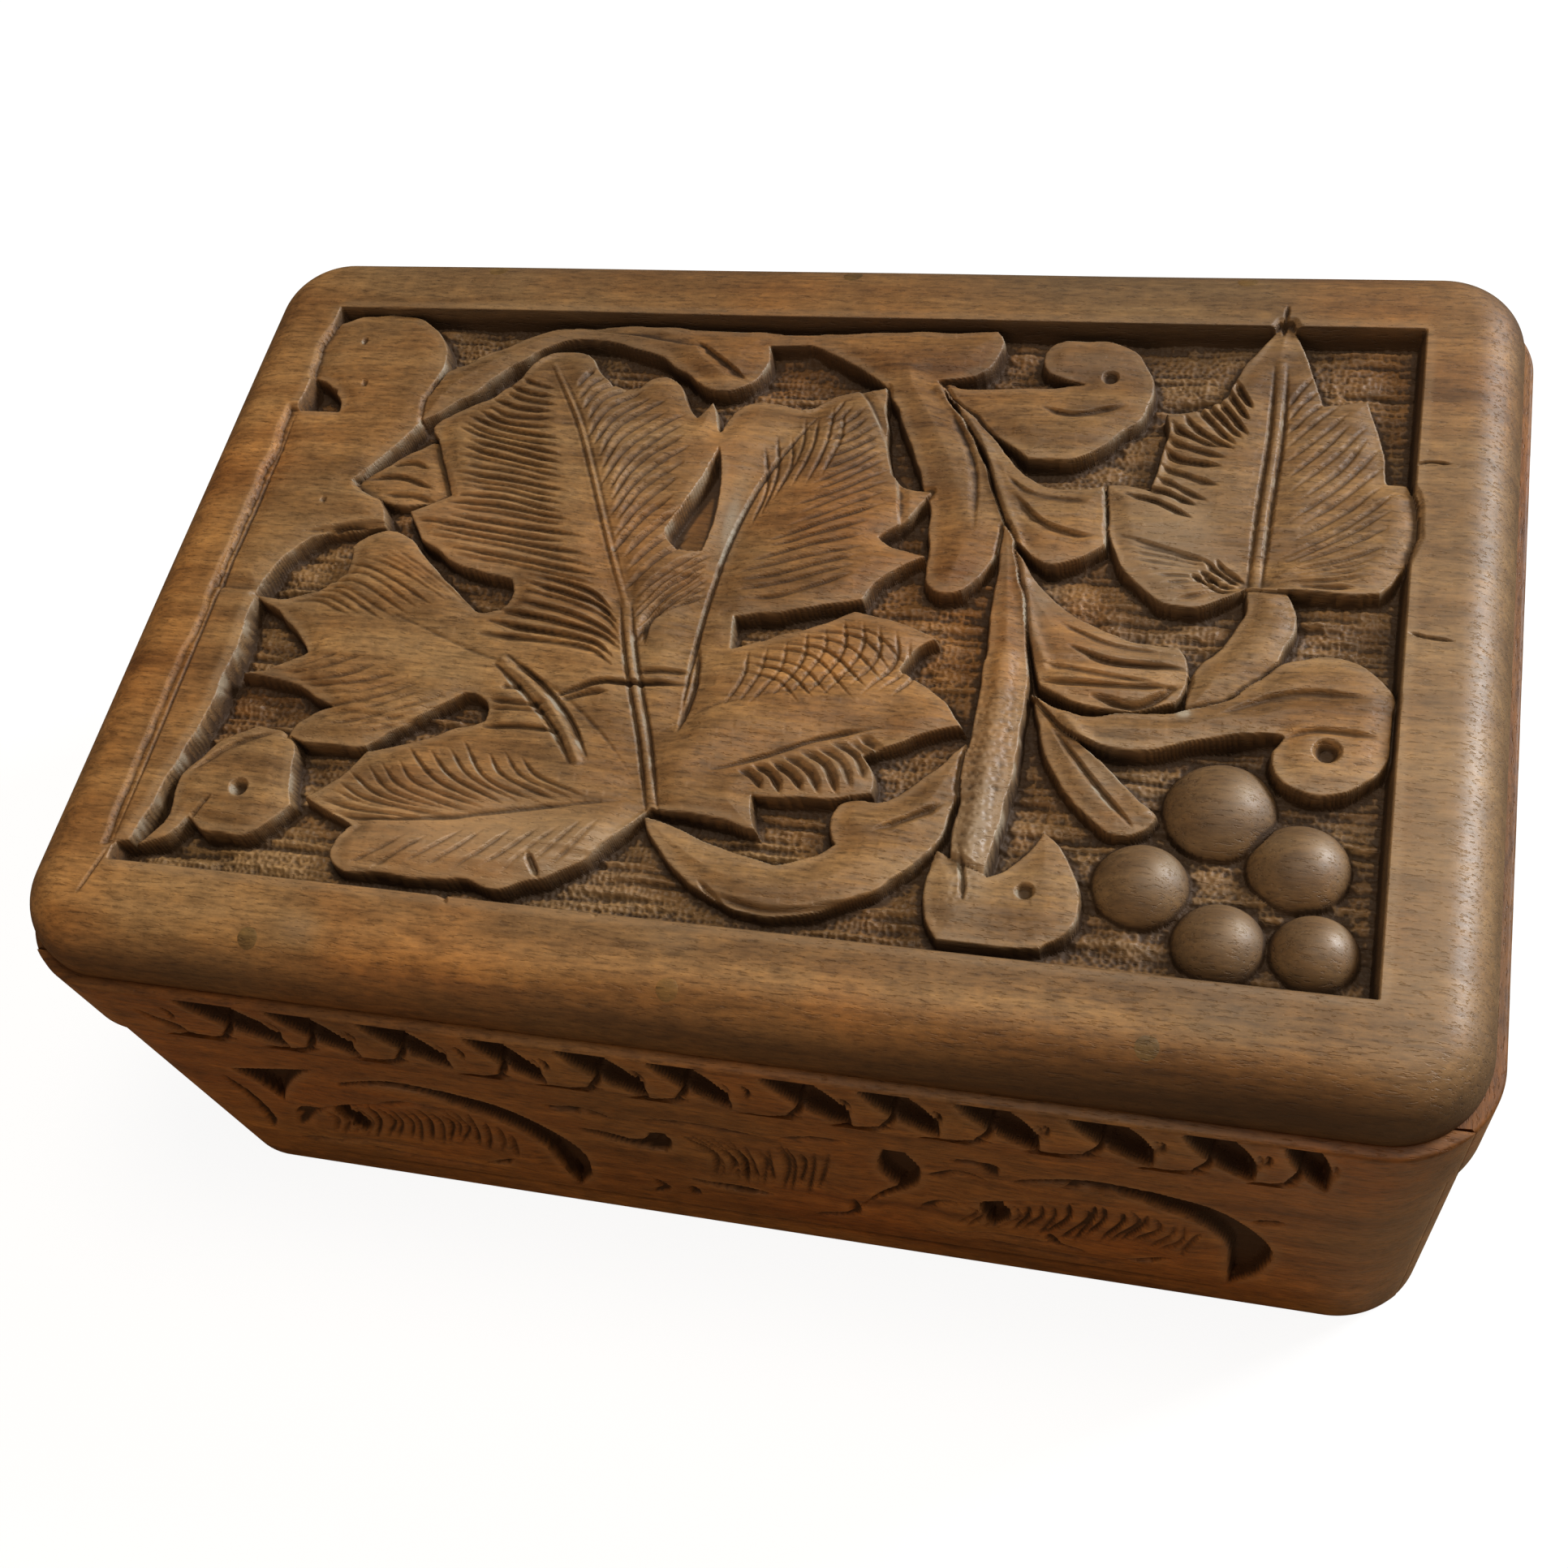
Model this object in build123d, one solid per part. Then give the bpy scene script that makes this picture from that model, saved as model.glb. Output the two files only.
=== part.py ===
from build123d import *
from math import atan, cos, degrees, hypot, pi, radians, sin
import os

# Carved wooden jewelry box with a hinged lid, in millimetres.
# X runs along the front, Y from front to back and Z up. The origin is the middle of the underside.

# Lid and base: outside sizes
lid_length = 203.0
lid_depth = 138.0
corner_radius = 14.0
lid_overhang = 0.8
parting_height = 55.0
parting_gap = 0.3
rail_height = 15.0
top_board_thickness = 10.0
top_board_setback = 1.75
top_roundover = 8.0

# Boards and their joints
wall_thickness = 10.0
corner_rebate = 5.0
bottom_board_thickness = 6.0
bottom_rebate = 4.0

# Lining: velvet covered cards
lining_thickness = 1.6
lining_drop = 2.0

# Sunk panel of the lid, and the size at which its design is drawn below
panel_length = 171.0
panel_depth = 106.0
panel_sink = 4.0
drawing_length = 171.0
drawing_depth = 106.0
cut_overrun = 1.0
vein_width = 1.1
vein_depth = 0.8
scroll_eye_depth = 2.5

# Small round details are drawn with this many sides
small_round_sides = 8

# Rope border of the lid rails
rope_pitch = 13.2
rope_low = 1.6
rope_high = 14.2
rope_lean = 9.5
rope_cut_width = 3.4
rope_cut_depth = 1.8
rope_end_margin = 18.0

# Leaf band of the base
band_depth = 1.8
band_height = 37.0
band_drawing_height = 37.0
band_low = 10.0

# Butt hinges
hinge_inset = 39.5
hinge_length = 26.0
hinge_axis_setout = 0.15
leaf_width = 8.4
leaf_thickness = 1.2
knuckle_radius = 2.0
knuckle_count = 3
knuckle_end_gap = 0.12
barrel_clearance = 0.35
pin_radius = 0.9
pin_running_clearance = 0.05
screw_spacing = 14.0
screw_setback = 5.4
screw_length = 8.0
screw_shank_radius = 0.85
screw_head_radius = 1.8
screw_head_height = 1.0

# Pegs through the lid board, and nails through the bottom board
peg_radius = 2.0
peg_depth = 18.0
peg_inset = 6.6
peg_hinge_offset = 2.0
nail_side = 1.6
nail_length = 14.0
nail_edge = 2.0
nail_spacing = 56.0

# Sizes that follow from those above
base_length = lid_length - 2 * lid_overhang
base_depth = lid_depth - 2 * lid_overhang
base_radius = corner_radius - lid_overhang
base_top = parting_height - parting_gap / 2
lid_bottom = parting_height + parting_gap / 2
rail_top = parting_height + rail_height
lid_top = rail_top + top_board_thickness
panel_floor = lid_top - panel_sink
board_length = lid_length - 2 * top_board_setback
board_depth = lid_depth - 2 * top_board_setback
board_radius = corner_radius - top_board_setback
inner_length = base_length - 2 * wall_thickness
inner_depth = base_depth - 2 * wall_thickness
lid_inner_length = lid_length - 2 * wall_thickness
lid_inner_depth = lid_depth - 2 * wall_thickness
hinge_x = lid_length / 2 - hinge_inset
hinge_y = lid_depth / 2 + hinge_axis_setout


def block(low, high):
    """Box between its lowest and its highest corner."""
    size = [b - a for a, b in zip(low, high)]
    middle = [(a + b) / 2 for a, b in zip(low, high)]
    return Pos(*middle) * Box(*size)


def many_sided(radius):
    """Small round face."""
    return RegularPolygon(radius, small_round_sides)


def frustum(low_radius, high_radius, height):
    """Small round frustum that stands on the XY plane."""
    prism = extrude(many_sided(low_radius), height)
    sides = prism.faces().filter_by(Axis.Z, reverse=True)
    slope = (low_radius - high_radius) * cos(pi / small_round_sides) / height
    return draft(sides, Plane.XY, degrees(atan(slope)))


def rounded_block(length, depth, radius, low, high):
    """Block with rounded upright corners, centred on the Z axis."""
    return Pos(0, 0, low) * extrude(RectangleRounded(length, depth, radius), high - low)


def framed_boards(length, depth, radius, low, high):
    """Four boards of a frame: front and back run full length, with the sides in rebates in their ends."""
    whole = rounded_block(length, depth, radius, low, high)
    side_x = length / 2 - wall_thickness
    side_y = depth / 2 - (wall_thickness - corner_rebate)
    long_y = depth / 2 - wall_thickness
    right_zone = block((side_x, -side_y, low), (length, side_y, high))
    left_zone = block((-length, -side_y, low), (-side_x, side_y, high))
    front_zone = block((-length, -depth, low), (length, -long_y, high))
    back_zone = block((-length, long_y, low), (length, depth, high))
    sides = left_zone + right_zone
    return {
        "front": whole & (front_zone - sides),
        "back": whole & (back_zone - sides),
        "left": whole & left_zone,
        "right": whole & right_zone,
    }


def face_plane(side, length, depth):
    """Plane on an outer face: its x runs to the right as the face is seen, and its y runs up."""
    origins = {"front": (0, -depth / 2, 0), "back": (0, depth / 2, 0)}
    origins.update({"left": (-length / 2, 0, 0), "right": (length / 2, 0, 0)})
    across = {"front": (1, 0, 0), "back": (-1, 0, 0), "left": (0, -1, 0), "right": (0, 1, 0)}
    outward = {"front": (0, -1, 0), "back": (0, 1, 0), "left": (-1, 0, 0), "right": (1, 0, 0)}
    return Plane(origin=origins[side], x_dir=across[side], z_dir=outward[side])


def outline(runs, place=lambda x, y: (x, y)):
    """Face inside an outline. Each run starts where the last one ended, and the last run closes it.

    A run of one point is a straight line to it, and a run of two is an arc through the first.
    """
    edges = []
    start = place(*runs[-1][-1])
    for run in runs:
        points = [start] + [place(x, y) for x, y in run]
        curve = Line if len(run) == 1 else ThreePointArc
        edges.append(curve(*points))
        start = points[-1]
    return make_face(edges)


def pocket(plane, face, depth):
    """Solid that sinks a face into the wood behind a plane, with an overrun in front of it."""
    return extrude(plane.offset(cut_overrun) * face, -(depth + cut_overrun))


# Base

def base_boards():
    """Four carved walls of the base, rebated for the bottom board and cut for the hinges."""
    boards = framed_boards(base_length, base_depth, base_radius, 0, base_top)
    bottom = bottom_board_blank()
    hinges = hinge_beds(-1)
    bands = {
        "front": front_band(),
        "back": front_band(),
        "left": side_band(),
        "right": side_band(),
    }
    for side, board in boards.items():
        plane = face_plane(side, base_length, base_depth)
        cuts = [pocket(plane, face, band_depth) for face in bands[side]]
        boards[side] = board - bottom - cuts
    boards["back"] = boards["back"] - hinges - screws(-1)
    return boards


def bottom_board_blank():
    """Board that fills the rebate under the walls."""
    half_x = inner_length / 2 + bottom_rebate
    half_y = inner_depth / 2 + bottom_rebate
    return block((-half_x, -half_y, 0), (half_x, half_y, bottom_board_thickness))


def row(spacing, reach):
    """Evenly spaced places along a row, centred on zero and no further out than reach."""
    steps = int(reach // spacing)
    return [spacing * step for step in range(-steps, steps + 1)]


def bottom_nails():
    """Square cut nails up through the rim of the bottom board into the walls."""
    nail = extrude(Rectangle(nail_side, nail_side), nail_length)
    half_x = inner_length / 2 + nail_edge
    half_y = inner_depth / 2 + nail_edge
    places = [(x, side * half_y) for x in row(nail_spacing, half_x) for side in (-1, 1)]
    places += [(side * half_x, 0) for side in (-1, 1)]
    return [Pos(x, y, 0) * nail for x, y in places]


def box_lining(length, depth, low, high, floor):
    """Five cards that line a rectangular hollow: a flat one at its floor, and four upright ones."""
    half_x = length / 2
    half_y = depth / 2
    card = lining_thickness
    inner_x = half_x - card
    inner_y = half_y - card
    flat_low = floor if floor == low else floor - card
    return {
        "flat": block((-inner_x, -inner_y, flat_low), (inner_x, inner_y, flat_low + card)),
        "front": block((-half_x, -half_y, low), (half_x, -inner_y, high)),
        "back": block((-half_x, inner_y, low), (half_x, half_y, high)),
        "left": block((-half_x, -inner_y, low), (-inner_x, inner_y, high)),
        "right": block((inner_x, -inner_y, low), (half_x, inner_y, high)),
    }


# Leaf band of the base: cut outlines in the face's own x and height

def band_point(centre):
    """Place in the band of a point of a motif: x from the motif's centre, and its height as drawn."""
    def place(x, z):
        return (centre + x, band_low + z * band_height / band_drawing_height)
    return place


def leaf_under_arch(centre):
    """Cuts of one broad leaf under an arched stalk: the arch, the slit beside the leaf and its eye."""
    arch = [
        [(-12, 33)],
        [(-3, 36), (6, 34.5)],
        [(13, 29.5), (18, 22)],
        [(20, 13)],
        [(19.5, 5)],
        [(17, 1)],
        [(16, 14), (10, 26.5)],
        [(3, 31.5)],
        [(-5, 33)],
        [(-14, 31)],
    ]
    slit = [
        [(-16, 22)],
        [(-17, 11)],
        [(-19.5, 20.5)],
    ]
    eye = [
        [(7, 9)],
        [(4, 5)],
        [(2, 4.5)],
    ]
    place = band_point(centre)
    return [outline(runs, place) for runs in (arch, slit, eye)]


def hook_and_flower(centre):
    """Cuts between two leaves: a hooked stalk, the flower's right edge and its foot."""
    hook = [
        [(-23, 23), (-14, 21)],
        [(-12, 29), (-14, 36)],
        [(-16, 35)],
        [(-18.5, 26)],
        [(-24, 25.6)],
        [(-30, 28.5)],
    ]
    flower = [
        [(22, 37)],
        [(21.5, 28), (13, 9)],
        [(17.5, 26)],
        [(18, 36)],
    ]
    foot = [
        [(-6, 8)],
        [(0, 9)],
        [(-6, 10.5)],
        [(-13, 11)],
    ]
    place = band_point(centre)
    return [outline(runs, place) for runs in (hook, flower, foot)]


def front_band():
    """Cuts of the band on a long wall."""
    return leaf_under_arch(-47.5) + hook_and_flower(5) + leaf_under_arch(56)


def side_band():
    """Cuts of the band on a short wall."""
    return leaf_under_arch(-28) + leaf_under_arch(25)


# Lid

def rope_cuts(length):
    """Leaning crescents of a rope border, spread over the flat stretch of one rail."""
    reach = length / 2 - rope_end_margin
    count = int(2 * reach // rope_pitch)
    faces = []
    for step in range(count):
        centre = (step - (count - 1) / 2) * rope_pitch
        top = (centre - rope_lean / 2, parting_height + rope_high)
        foot = (centre + rope_lean / 2, parting_height + rope_low)
        middle = ((top[0] + foot[0]) / 2, (top[1] + foot[1]) / 2)
        lean = hypot(rope_lean, rope_high - rope_low)
        normal = ((rope_high - rope_low) / lean, rope_lean / lean)
        bow = tuple(m + n * rope_cut_width for m, n in zip(middle, normal))
        faces.append(outline([[bow, foot], [top]]))
    return faces


def lid_rails():
    """Four rails under the lid board, with the rope border cut in."""
    boards = framed_boards(lid_length, lid_depth, corner_radius, lid_bottom, rail_top)
    lengths = {"front": lid_length, "back": lid_length, "left": lid_depth, "right": lid_depth}
    for side, board in boards.items():
        plane = face_plane(side, lid_length, lid_depth)
        cuts = [pocket(plane, face, rope_cut_depth) for face in rope_cuts(lengths[side])]
        boards[side] = board - cuts
    boards["front"] = boards["front"] - pegs(-1)
    boards["back"] = boards["back"] - pegs(1) - hinge_beds(1) - screws(1)
    return boards


def lid_board_blank():
    """Lid board before carving, with its rounded-over top edge."""
    board = rounded_block(board_length, board_depth, board_radius, rail_top, lid_top)
    return fillet(board.faces().sort_by(Axis.Z)[-1].edges(), top_roundover)


def pegs(side):
    """Pegs along the front (side -1) or the back (side 1), cut flush with the lid board."""
    y = side * (lid_depth / 2 - peg_inset)
    below = rounded_block(lid_length, lid_depth, corner_radius, lid_top - peg_depth, rail_top)
    limit = lid_board_blank() + below
    outer = hinge_x - peg_hinge_offset
    places = [-outer, 0, outer]
    peg = extrude(many_sided(peg_radius), peg_depth)
    return [(Pos(x, y, lid_top - peg_depth) * peg) & limit for x in places]


def on_panel(x, y):
    """Place on the lid panel of a point of the drawing."""
    return (x * panel_length / drawing_length, y * panel_depth / drawing_depth)


def raised(runs, drop):
    """Plateau of the relief from below the panel's floor up to a drop below the border."""
    height = lid_top - drop - rail_top
    return Pos(0, 0, rail_top) * extrude(outline(runs, on_panel), height)


vine_leaf = [
    [(-14.5, -43)], [(-21, -48)], [(-36, -49.8)], [(-50, -50.4)], [(-53, -46.5), (-51, -43)],
    [(-60, -39.5)], [(-53, -31)], [(-37, -24)], [(-38.5, -20.3), (-41.5, -19.8)], [(-53.5, -30.2)],
    [(-66, -29.5)], [(-61, -24)], [(-78, -19.5)], [(-68, -15)], [(-80, -5.5)],
    [(-72, -4.5), (-67, -0.5)], [(-68, 5)], [(-62, 8), (-57, 5.6)], [(-44, -5.3)],
    [(-40, -4.5), (-39.8, 0.8)], [(-50, 3.2), (-56.5, 7.5)], [(-60, 12)], [(-54, 15.5)], [(-60, 26.5)],
    [(-61.5, 29), (-59.5, 31.5)], [(-50, 40)], [(-47.5, 44.3)], [(-42.5, 46), (-38, 43)], [(-30, 38)],
    [(-27, 41), (-23, 40)], [(-20, 34.5)], [(-18.8, 33)], [(-17, 36.5)], [(-14.5, 30.5)], [(-9, 37)],
    [(-3, 35.5), (3, 38.8)], [(9.5, 40)], [(13, 23.5)], [(19.5, 20.5)], [(13.5, 12)], [(20.5, 9)],
    [(13, 1)], [(-5, -3)], [(-4, -9)], [(12.5, -1.2)], [(25, -5)], [(20.3, -10.5)], [(31, -19)],
    [(18, -24.5)], [(20.5, -30.5)], [(4.5, -32.5)], [(6.5, -38)], [(-9, -36)],
]
leaf_fold = [
    [(-54, 15)], [(-60, 27)], [(-66, 23)], [(-71, 17)], [(-66, 14.2), (-60, 14)],
]
leaf_hole = [
    [(-18.5, 11)], [(-17, 8.2), (-12, 7.5)], [(-11.5, 17), (-13.8, 27.5)],
]
leaf_stalk = [
    [(2, -41)], [(13.5, -41.3)], [(17.2, -38.5)], [(15.8, -34.6), (18, -31.5)],
    [(22.5, -31), (27.5, -26.5)], [(32, -20)], [(32, -30)], [(30, -37)], [(25.5, -43)],
    [(18, -47.8), (9, -49.8)], [(0, -47), (-7, -41.5)], [(-10.5, -36.5)],
]
arch_vine = [
    [(-51.5, 42.5)], [(-46, 47), (-40, 48.4)], [(-26.5, 44.6)], [(-19.5, 39)],
    [(-15, 38.2), (-10.5, 42.5)], [(-11, 48.5)], [(-3, 47.6)], [(3.5, 44.6)], [(9.8, 39.8)],
    [(17.5, 23.5)], [(20.5, 15)], [(21.5, 5)], [(23, 3.2)], [(27, 3.2)], [(29.6, 7)], [(31, 15)],
    [(24.5, 30)], [(16.5, 42)], [(22.5, 43)], [(25.5, 47), (24.5, 52)], [(-10, 50.8)], [(-44, 51)],
    [(-54, 47)], [(-63, 40.5)], [(-64.5, 36)], [(-64, 30)],
]
vine_stem = [
    [(32, -8)], [(32.5, -46)], [(36.5, -46)], [(38.4, -14)], [(32.8, 12)], [(29.5, 14)],
]
bird_scroll = [
    [(27, 32)], [(32.5, 27.8)], [(38.5, 27.8), (44, 31.5)], [(47.8, 37)], [(48.8, 42)],
    [(47, 47), (42.5, 50.2)], [(36, 50.6)], [(31.8, 47.2), (34.2, 43.4)], [(38.5, 42.2)], [(24, 40.8)],
    [(17, 41.4)],
]
tongue_a = [
    [(26.5, 27.5)], [(33, 12.5)], [(36.5, 9.4)], [(40.5, 9)], [(45.5, 12.5)], [(44, 23.5)],
    [(37, 22.2), (30, 27.4)], [(17, 41.6)],
]
tongue_b = [
    [(37.5, 5)], [(43.5, 0)], [(57, -3.8)], [(59, -8), (57.5, -12.6)], [(50, -14.5), (40, -11.3)],
    [(33, 11.5)],
]
branch_scroll = [
    [(45, -15.8), (51.5, -15.2)], [(58, -14.5)], [(67, -9)], [(71, -5.5)], [(76, -3.8)],
    [(81, -5), (84.5, -9)], [(84, -21)], [(80, -24.4)], [(73.5, -24.3), (70.3, -19)], [(71.5, -17)],
    [(64.5, -17.2)], [(57, -20)], [(50, -20.3)], [(44.5, -18.4)], [(39, -13)],
]
small_leaf = [
    [(60, 43)], [(57.5, 39), (51, 36.8)], [(50, 23)], [(44.3, 23.4)], [(45.8, 14), (49.5, 7)],
    [(54.5, 3.1), (60, 3.2)], [(65, 6.8)], [(70, 6.8)], [(82, 6.8)], [(85, 11.5), (84.6, 25.4)],
    [(82.2, 25.8)], [(78.5, 40.4)], [(72.8, 39.5)], [(67, 54)], [(65.5, 54)],
]
small_stem = [
    [(65.2, 2), (62.6, -3.5)], [(59.3, -8), (59.5, -13.8)], [(66, -10.5), (71, -3.5)],
    [(72, 2.5), (70, 7.5)], [(65, 7.5)],
]
tongue_c = [
    [(57.3, -30)], [(55, -32.6)], [(51.5, -33)], [(44.5, -26), (39.3, -13)],
]
teardrop = [
    [(49.3, -42.5)], [(48.8, -47.5), (45.5, -50.8)], [(32.5, -50.8)], [(30, -46), (30.5, -38)],
    [(37.5, -41)], [(41.2, -38.2)], [(43.5, -33.5)],
]
corner_leaf = [
    [(-79.7, -45), (-80.3, -38)], [(-77, -32.5), (-71, -28.2)], [(-65.4, -30), (-63.3, -35)],
    [(-61, -41)], [(-66, -46), (-72.5, -46.8)], [(-76.5, -44.6)], [(-79, -48)], [(-83, -49.8)],
]
left_scroll = [
    [(-80, 52)], [(-72, 52.3)], [(-66.5, 48.6), (-63.5, 43)], [(-64, 29.5)], [(-71.5, 17.5)],
    [(-66.5, 15), (-63.5, 9.2)], [(-72, 7.6), (-77.5, 2.5)], [(-80, -4.5)], [(-87, -4.5)], [(-87, 31)],
    [(-79, 31.5)], [(-81, 35.5), (-85.5, 38)], [(-86.3, 44)], [(-84.5, 50)],
]
left_ledge = [
    [(-80, -4.5)], [(-79.4, -26)], [(-83.5, -49.5)], [(-87, -50.5)], [(-87, -4.5)],
]

# Each raised form of the relief and how far its top lies below the border
relief = [
    (vine_leaf, 0.7), (leaf_fold, 1.6), (leaf_stalk, 0.9), (arch_vine, 0.5), (vine_stem, 0.4),
    (bird_scroll, 0.9), (tongue_a, 0.6), (tongue_b, 0.8), (branch_scroll, 0.5), (small_leaf, 0.7),
    (small_stem, 1.0), (tongue_c, 1.2), (teardrop, 1.0), (corner_leaf, 0.6), (left_scroll, 0.5),
    (left_ledge, 0.2),
]

# Grapes: place and radius
grapes = [(65, -27.3, 7.2), (75.3, -34.6, 6.4), (56.4, -39.2, 6.2), (66.7, -46.3, 5.8), (78, -46.3, 5.5)]
# Rings of a grape's dome, in degrees up from its widest ring
dome_rings = [0, 35, 60, 80]

# Drilled eyes of the scrolls: place and radius
scroll_eyes = [(42.3, 43.2, 1.7), (77.3, -18.8, 1.8), (42.5, -42.8, 1.7), (-70, -39.3, 1.6)]

# Main veins: both ends
veins = [
    ((-9.5, -36), (-45, 43)), ((-12, -30), (4, 37)), ((-10, -33), (29, -18)),
    ((-13, -30), (-58, 10)), ((-15, -33), (-77, -7)), ((-12, -36), (-56, -40)),
    ((67, 8), (66, 47)), ((66, 9), (52, 34)), ((66, 9), (47, 21)), ((68.5, 10), (78, 38)),
]


def vein(start, end):
    """V-shaped groove along a straight vein, cut with the corner of a chisel."""
    x0, y0 = on_panel(*start)
    x1, y1 = on_panel(*end)
    half = vein_width / 2
    section = Polyline((-half, 0), (half, 0), (half, cut_overrun), (-half, cut_overrun), close=True)
    groove = make_face(section) + make_face(Polyline((-half, 0), (half, 0), (0, -vein_depth), close=True))
    level = lid_top - relief[0][1]
    along = Vector(x1 - x0, y1 - y0, 0)
    plane = Plane(origin=(x0, y0, level), x_dir=(y1 - y0, x0 - x1, 0), z_dir=along)
    return extrude(plane * groove, along.length)


def grape(x, y, radius):
    """Grape: a stem with a dome of rings, which rises to the border's height."""
    middle = lid_top - radius
    body = Pos(0, 0, rail_top) * extrude(many_sided(radius), middle - rail_top)
    for low, high in zip(dome_rings, dome_rings[1:]):
        low_height = radius * sin(radians(low))
        high_height = radius * sin(radians(high))
        ring = frustum(radius * cos(radians(low)), radius * cos(radians(high)), high_height - low_height)
        body += Pos(0, 0, middle + low_height) * ring
    return Pos(*on_panel(x, y), 0) * body


def scroll_eye(x, y, radius):
    """Drilled eye of a scroll."""
    return Pos(*on_panel(x, y), lid_top) * extrude(many_sided(radius), -scroll_eye_depth)


def lid_board():
    """Lid board with the sunk panel, its relief of leaves, scrolls and grapes, and the peg holes."""
    half_x = panel_length / 2
    half_y = panel_depth / 2
    board = lid_board_blank()
    board -= block((-half_x, -half_y, panel_floor), (half_x, half_y, lid_top + cut_overrun))
    board += [raised(runs, drop) for runs, drop in relief]
    board += [grape(x, y, radius) for x, y, radius in grapes]
    board -= Pos(0, 0, panel_floor) * extrude(outline(leaf_hole, on_panel), panel_sink)
    board -= [scroll_eye(x, y, radius) for x, y, radius in scroll_eyes]
    board -= [vein(start, end) for start, end in veins]
    return board - pegs(-1) - pegs(1)


# Hinges: the base's leaf lies below the parting plane (side -1) and the lid's above it (side 1)

def hinge_places():
    """Middle of each hinge along the back."""
    return {"left": -hinge_x, "right": hinge_x}


def along_x(radius, low, high):
    """Cylinder on the hinges' axis between two places along X."""
    return Pos(low, hinge_y, parting_height) * Rot(0, 90, 0) * extrude(Circle(radius), high - low)


def leaf_levels(side):
    """Lowest and highest level of a leaf, which lies flush with the edge of its board."""
    near = parting_height + side * parting_gap / 2
    far = near + side * leaf_thickness
    return min(near, far), max(near, far)


def hinge_leaf(x, side):
    """Leaf of a butt hinge: its outer knuckles are on the base's leaf and the inner one on the lid's."""
    low, high = leaf_levels(side)
    half = hinge_length / 2
    pitch = hinge_length / knuckle_count
    notch = knuckle_radius + barrel_clearance
    bore = pin_radius if side < 0 else pin_radius + pin_running_clearance
    leaf = block((x - half, hinge_y - leaf_width, low), (x + half, hinge_y, high))
    for step in range(knuckle_count):
        start = x - half + step * pitch
        end = start + pitch
        if (step % 2 == 0) == (side < 0):
            leaf += along_x(knuckle_radius, start + knuckle_end_gap, end - knuckle_end_gap)
        else:
            leaf -= block((start, hinge_y - notch, low), (end, hinge_y + notch, high))
    leaf -= along_x(bore, x - hinge_length, x + hinge_length)
    return leaf - screws(side)


def hinge_pin(x):
    """Pin through the knuckles, flush with the outer ones."""
    half = hinge_length / 2 - knuckle_end_gap
    return along_x(pin_radius, x - half, x + half)


def hinge_beds(side):
    """Beds for both hinges' leaves and barrels in the edge of a board."""
    low, high = leaf_levels(side)
    half = hinge_length / 2
    reach = half + barrel_clearance
    barrel = knuckle_radius + barrel_clearance
    beds = []
    for x in hinge_places().values():
        beds.append(block((x - half, hinge_y - leaf_width, low), (x + half, hinge_y + barrel, high)))
        beds.append(along_x(barrel, x - reach, x + reach))
    return beds


def screw():
    """Countersunk wood screw, head up and its top at zero."""
    head = frustum(screw_shank_radius, screw_head_radius, screw_head_height)
    shank = extrude(many_sided(screw_shank_radius), screw_head_height - screw_length)
    return Pos(0, 0, -screw_head_height) * (head + shank)


def screws(side):
    """Screws of both hinges' leaves on one side of the parting plane."""
    level = parting_height + side * parting_gap / 2
    tool = screw() if side < 0 else Rot(180, 0, 0) * screw()
    y = hinge_y - screw_setback
    offsets = (-screw_spacing / 2, screw_spacing / 2)
    return [Pos(x + offset, y, level) * tool for x in hinge_places().values() for offset in offsets]


def build_nodes():
    """Every piece of the box by its node's name."""
    nodes = {}
    for side, board in base_boards().items():
        nodes[f"base_{side}_wall"] = board
    nails = bottom_nails()
    nodes["base_bottom_board"] = bottom_board_blank() - nails
    for name in ("base_front_wall", "base_back_wall", "base_left_wall", "base_right_wall"):
        nodes[name] = nodes[name] - nails
    nodes["base_bottom_nails"] = Compound(children=nails)
    base_cards = box_lining(inner_length, inner_depth, bottom_board_thickness, base_top - lining_drop,
                            bottom_board_thickness)
    for place, card in base_cards.items():
        nodes["base_floor_lining" if place == "flat" else f"base_{place}_lining"] = card
    for side, board in lid_rails().items():
        nodes[f"lid_{side}_rail"] = board
    nodes["lid_top_board"] = lid_board()
    nodes["lid_top_pegs"] = Compound(children=pegs(-1) + pegs(1))
    lid_cards = box_lining(lid_inner_length, lid_inner_depth, lid_bottom + lining_drop, rail_top,
                           rail_top)
    for place, card in lid_cards.items():
        nodes["lid_ceiling_lining" if place == "flat" else f"lid_{place}_lining"] = card
    for hand, x in hinge_places().items():
        nodes[f"{hand}_hinge_base_leaf"] = hinge_leaf(x, -1)
        nodes[f"{hand}_hinge_lid_leaf"] = hinge_leaf(x, 1)
        nodes[f"{hand}_hinge_pin"] = hinge_pin(x)
    nodes["base_hinge_screws"] = Compound(children=screws(-1))
    nodes["lid_hinge_screws"] = Compound(children=screws(1))
    return nodes


os.makedirs("parts", exist_ok=True)
for name, solid in build_nodes().items():
    export_step(solid, f"parts/{name}.step")
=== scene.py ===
import math
import bpy
import numpy as np
from mathutils import Matrix, Vector


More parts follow.
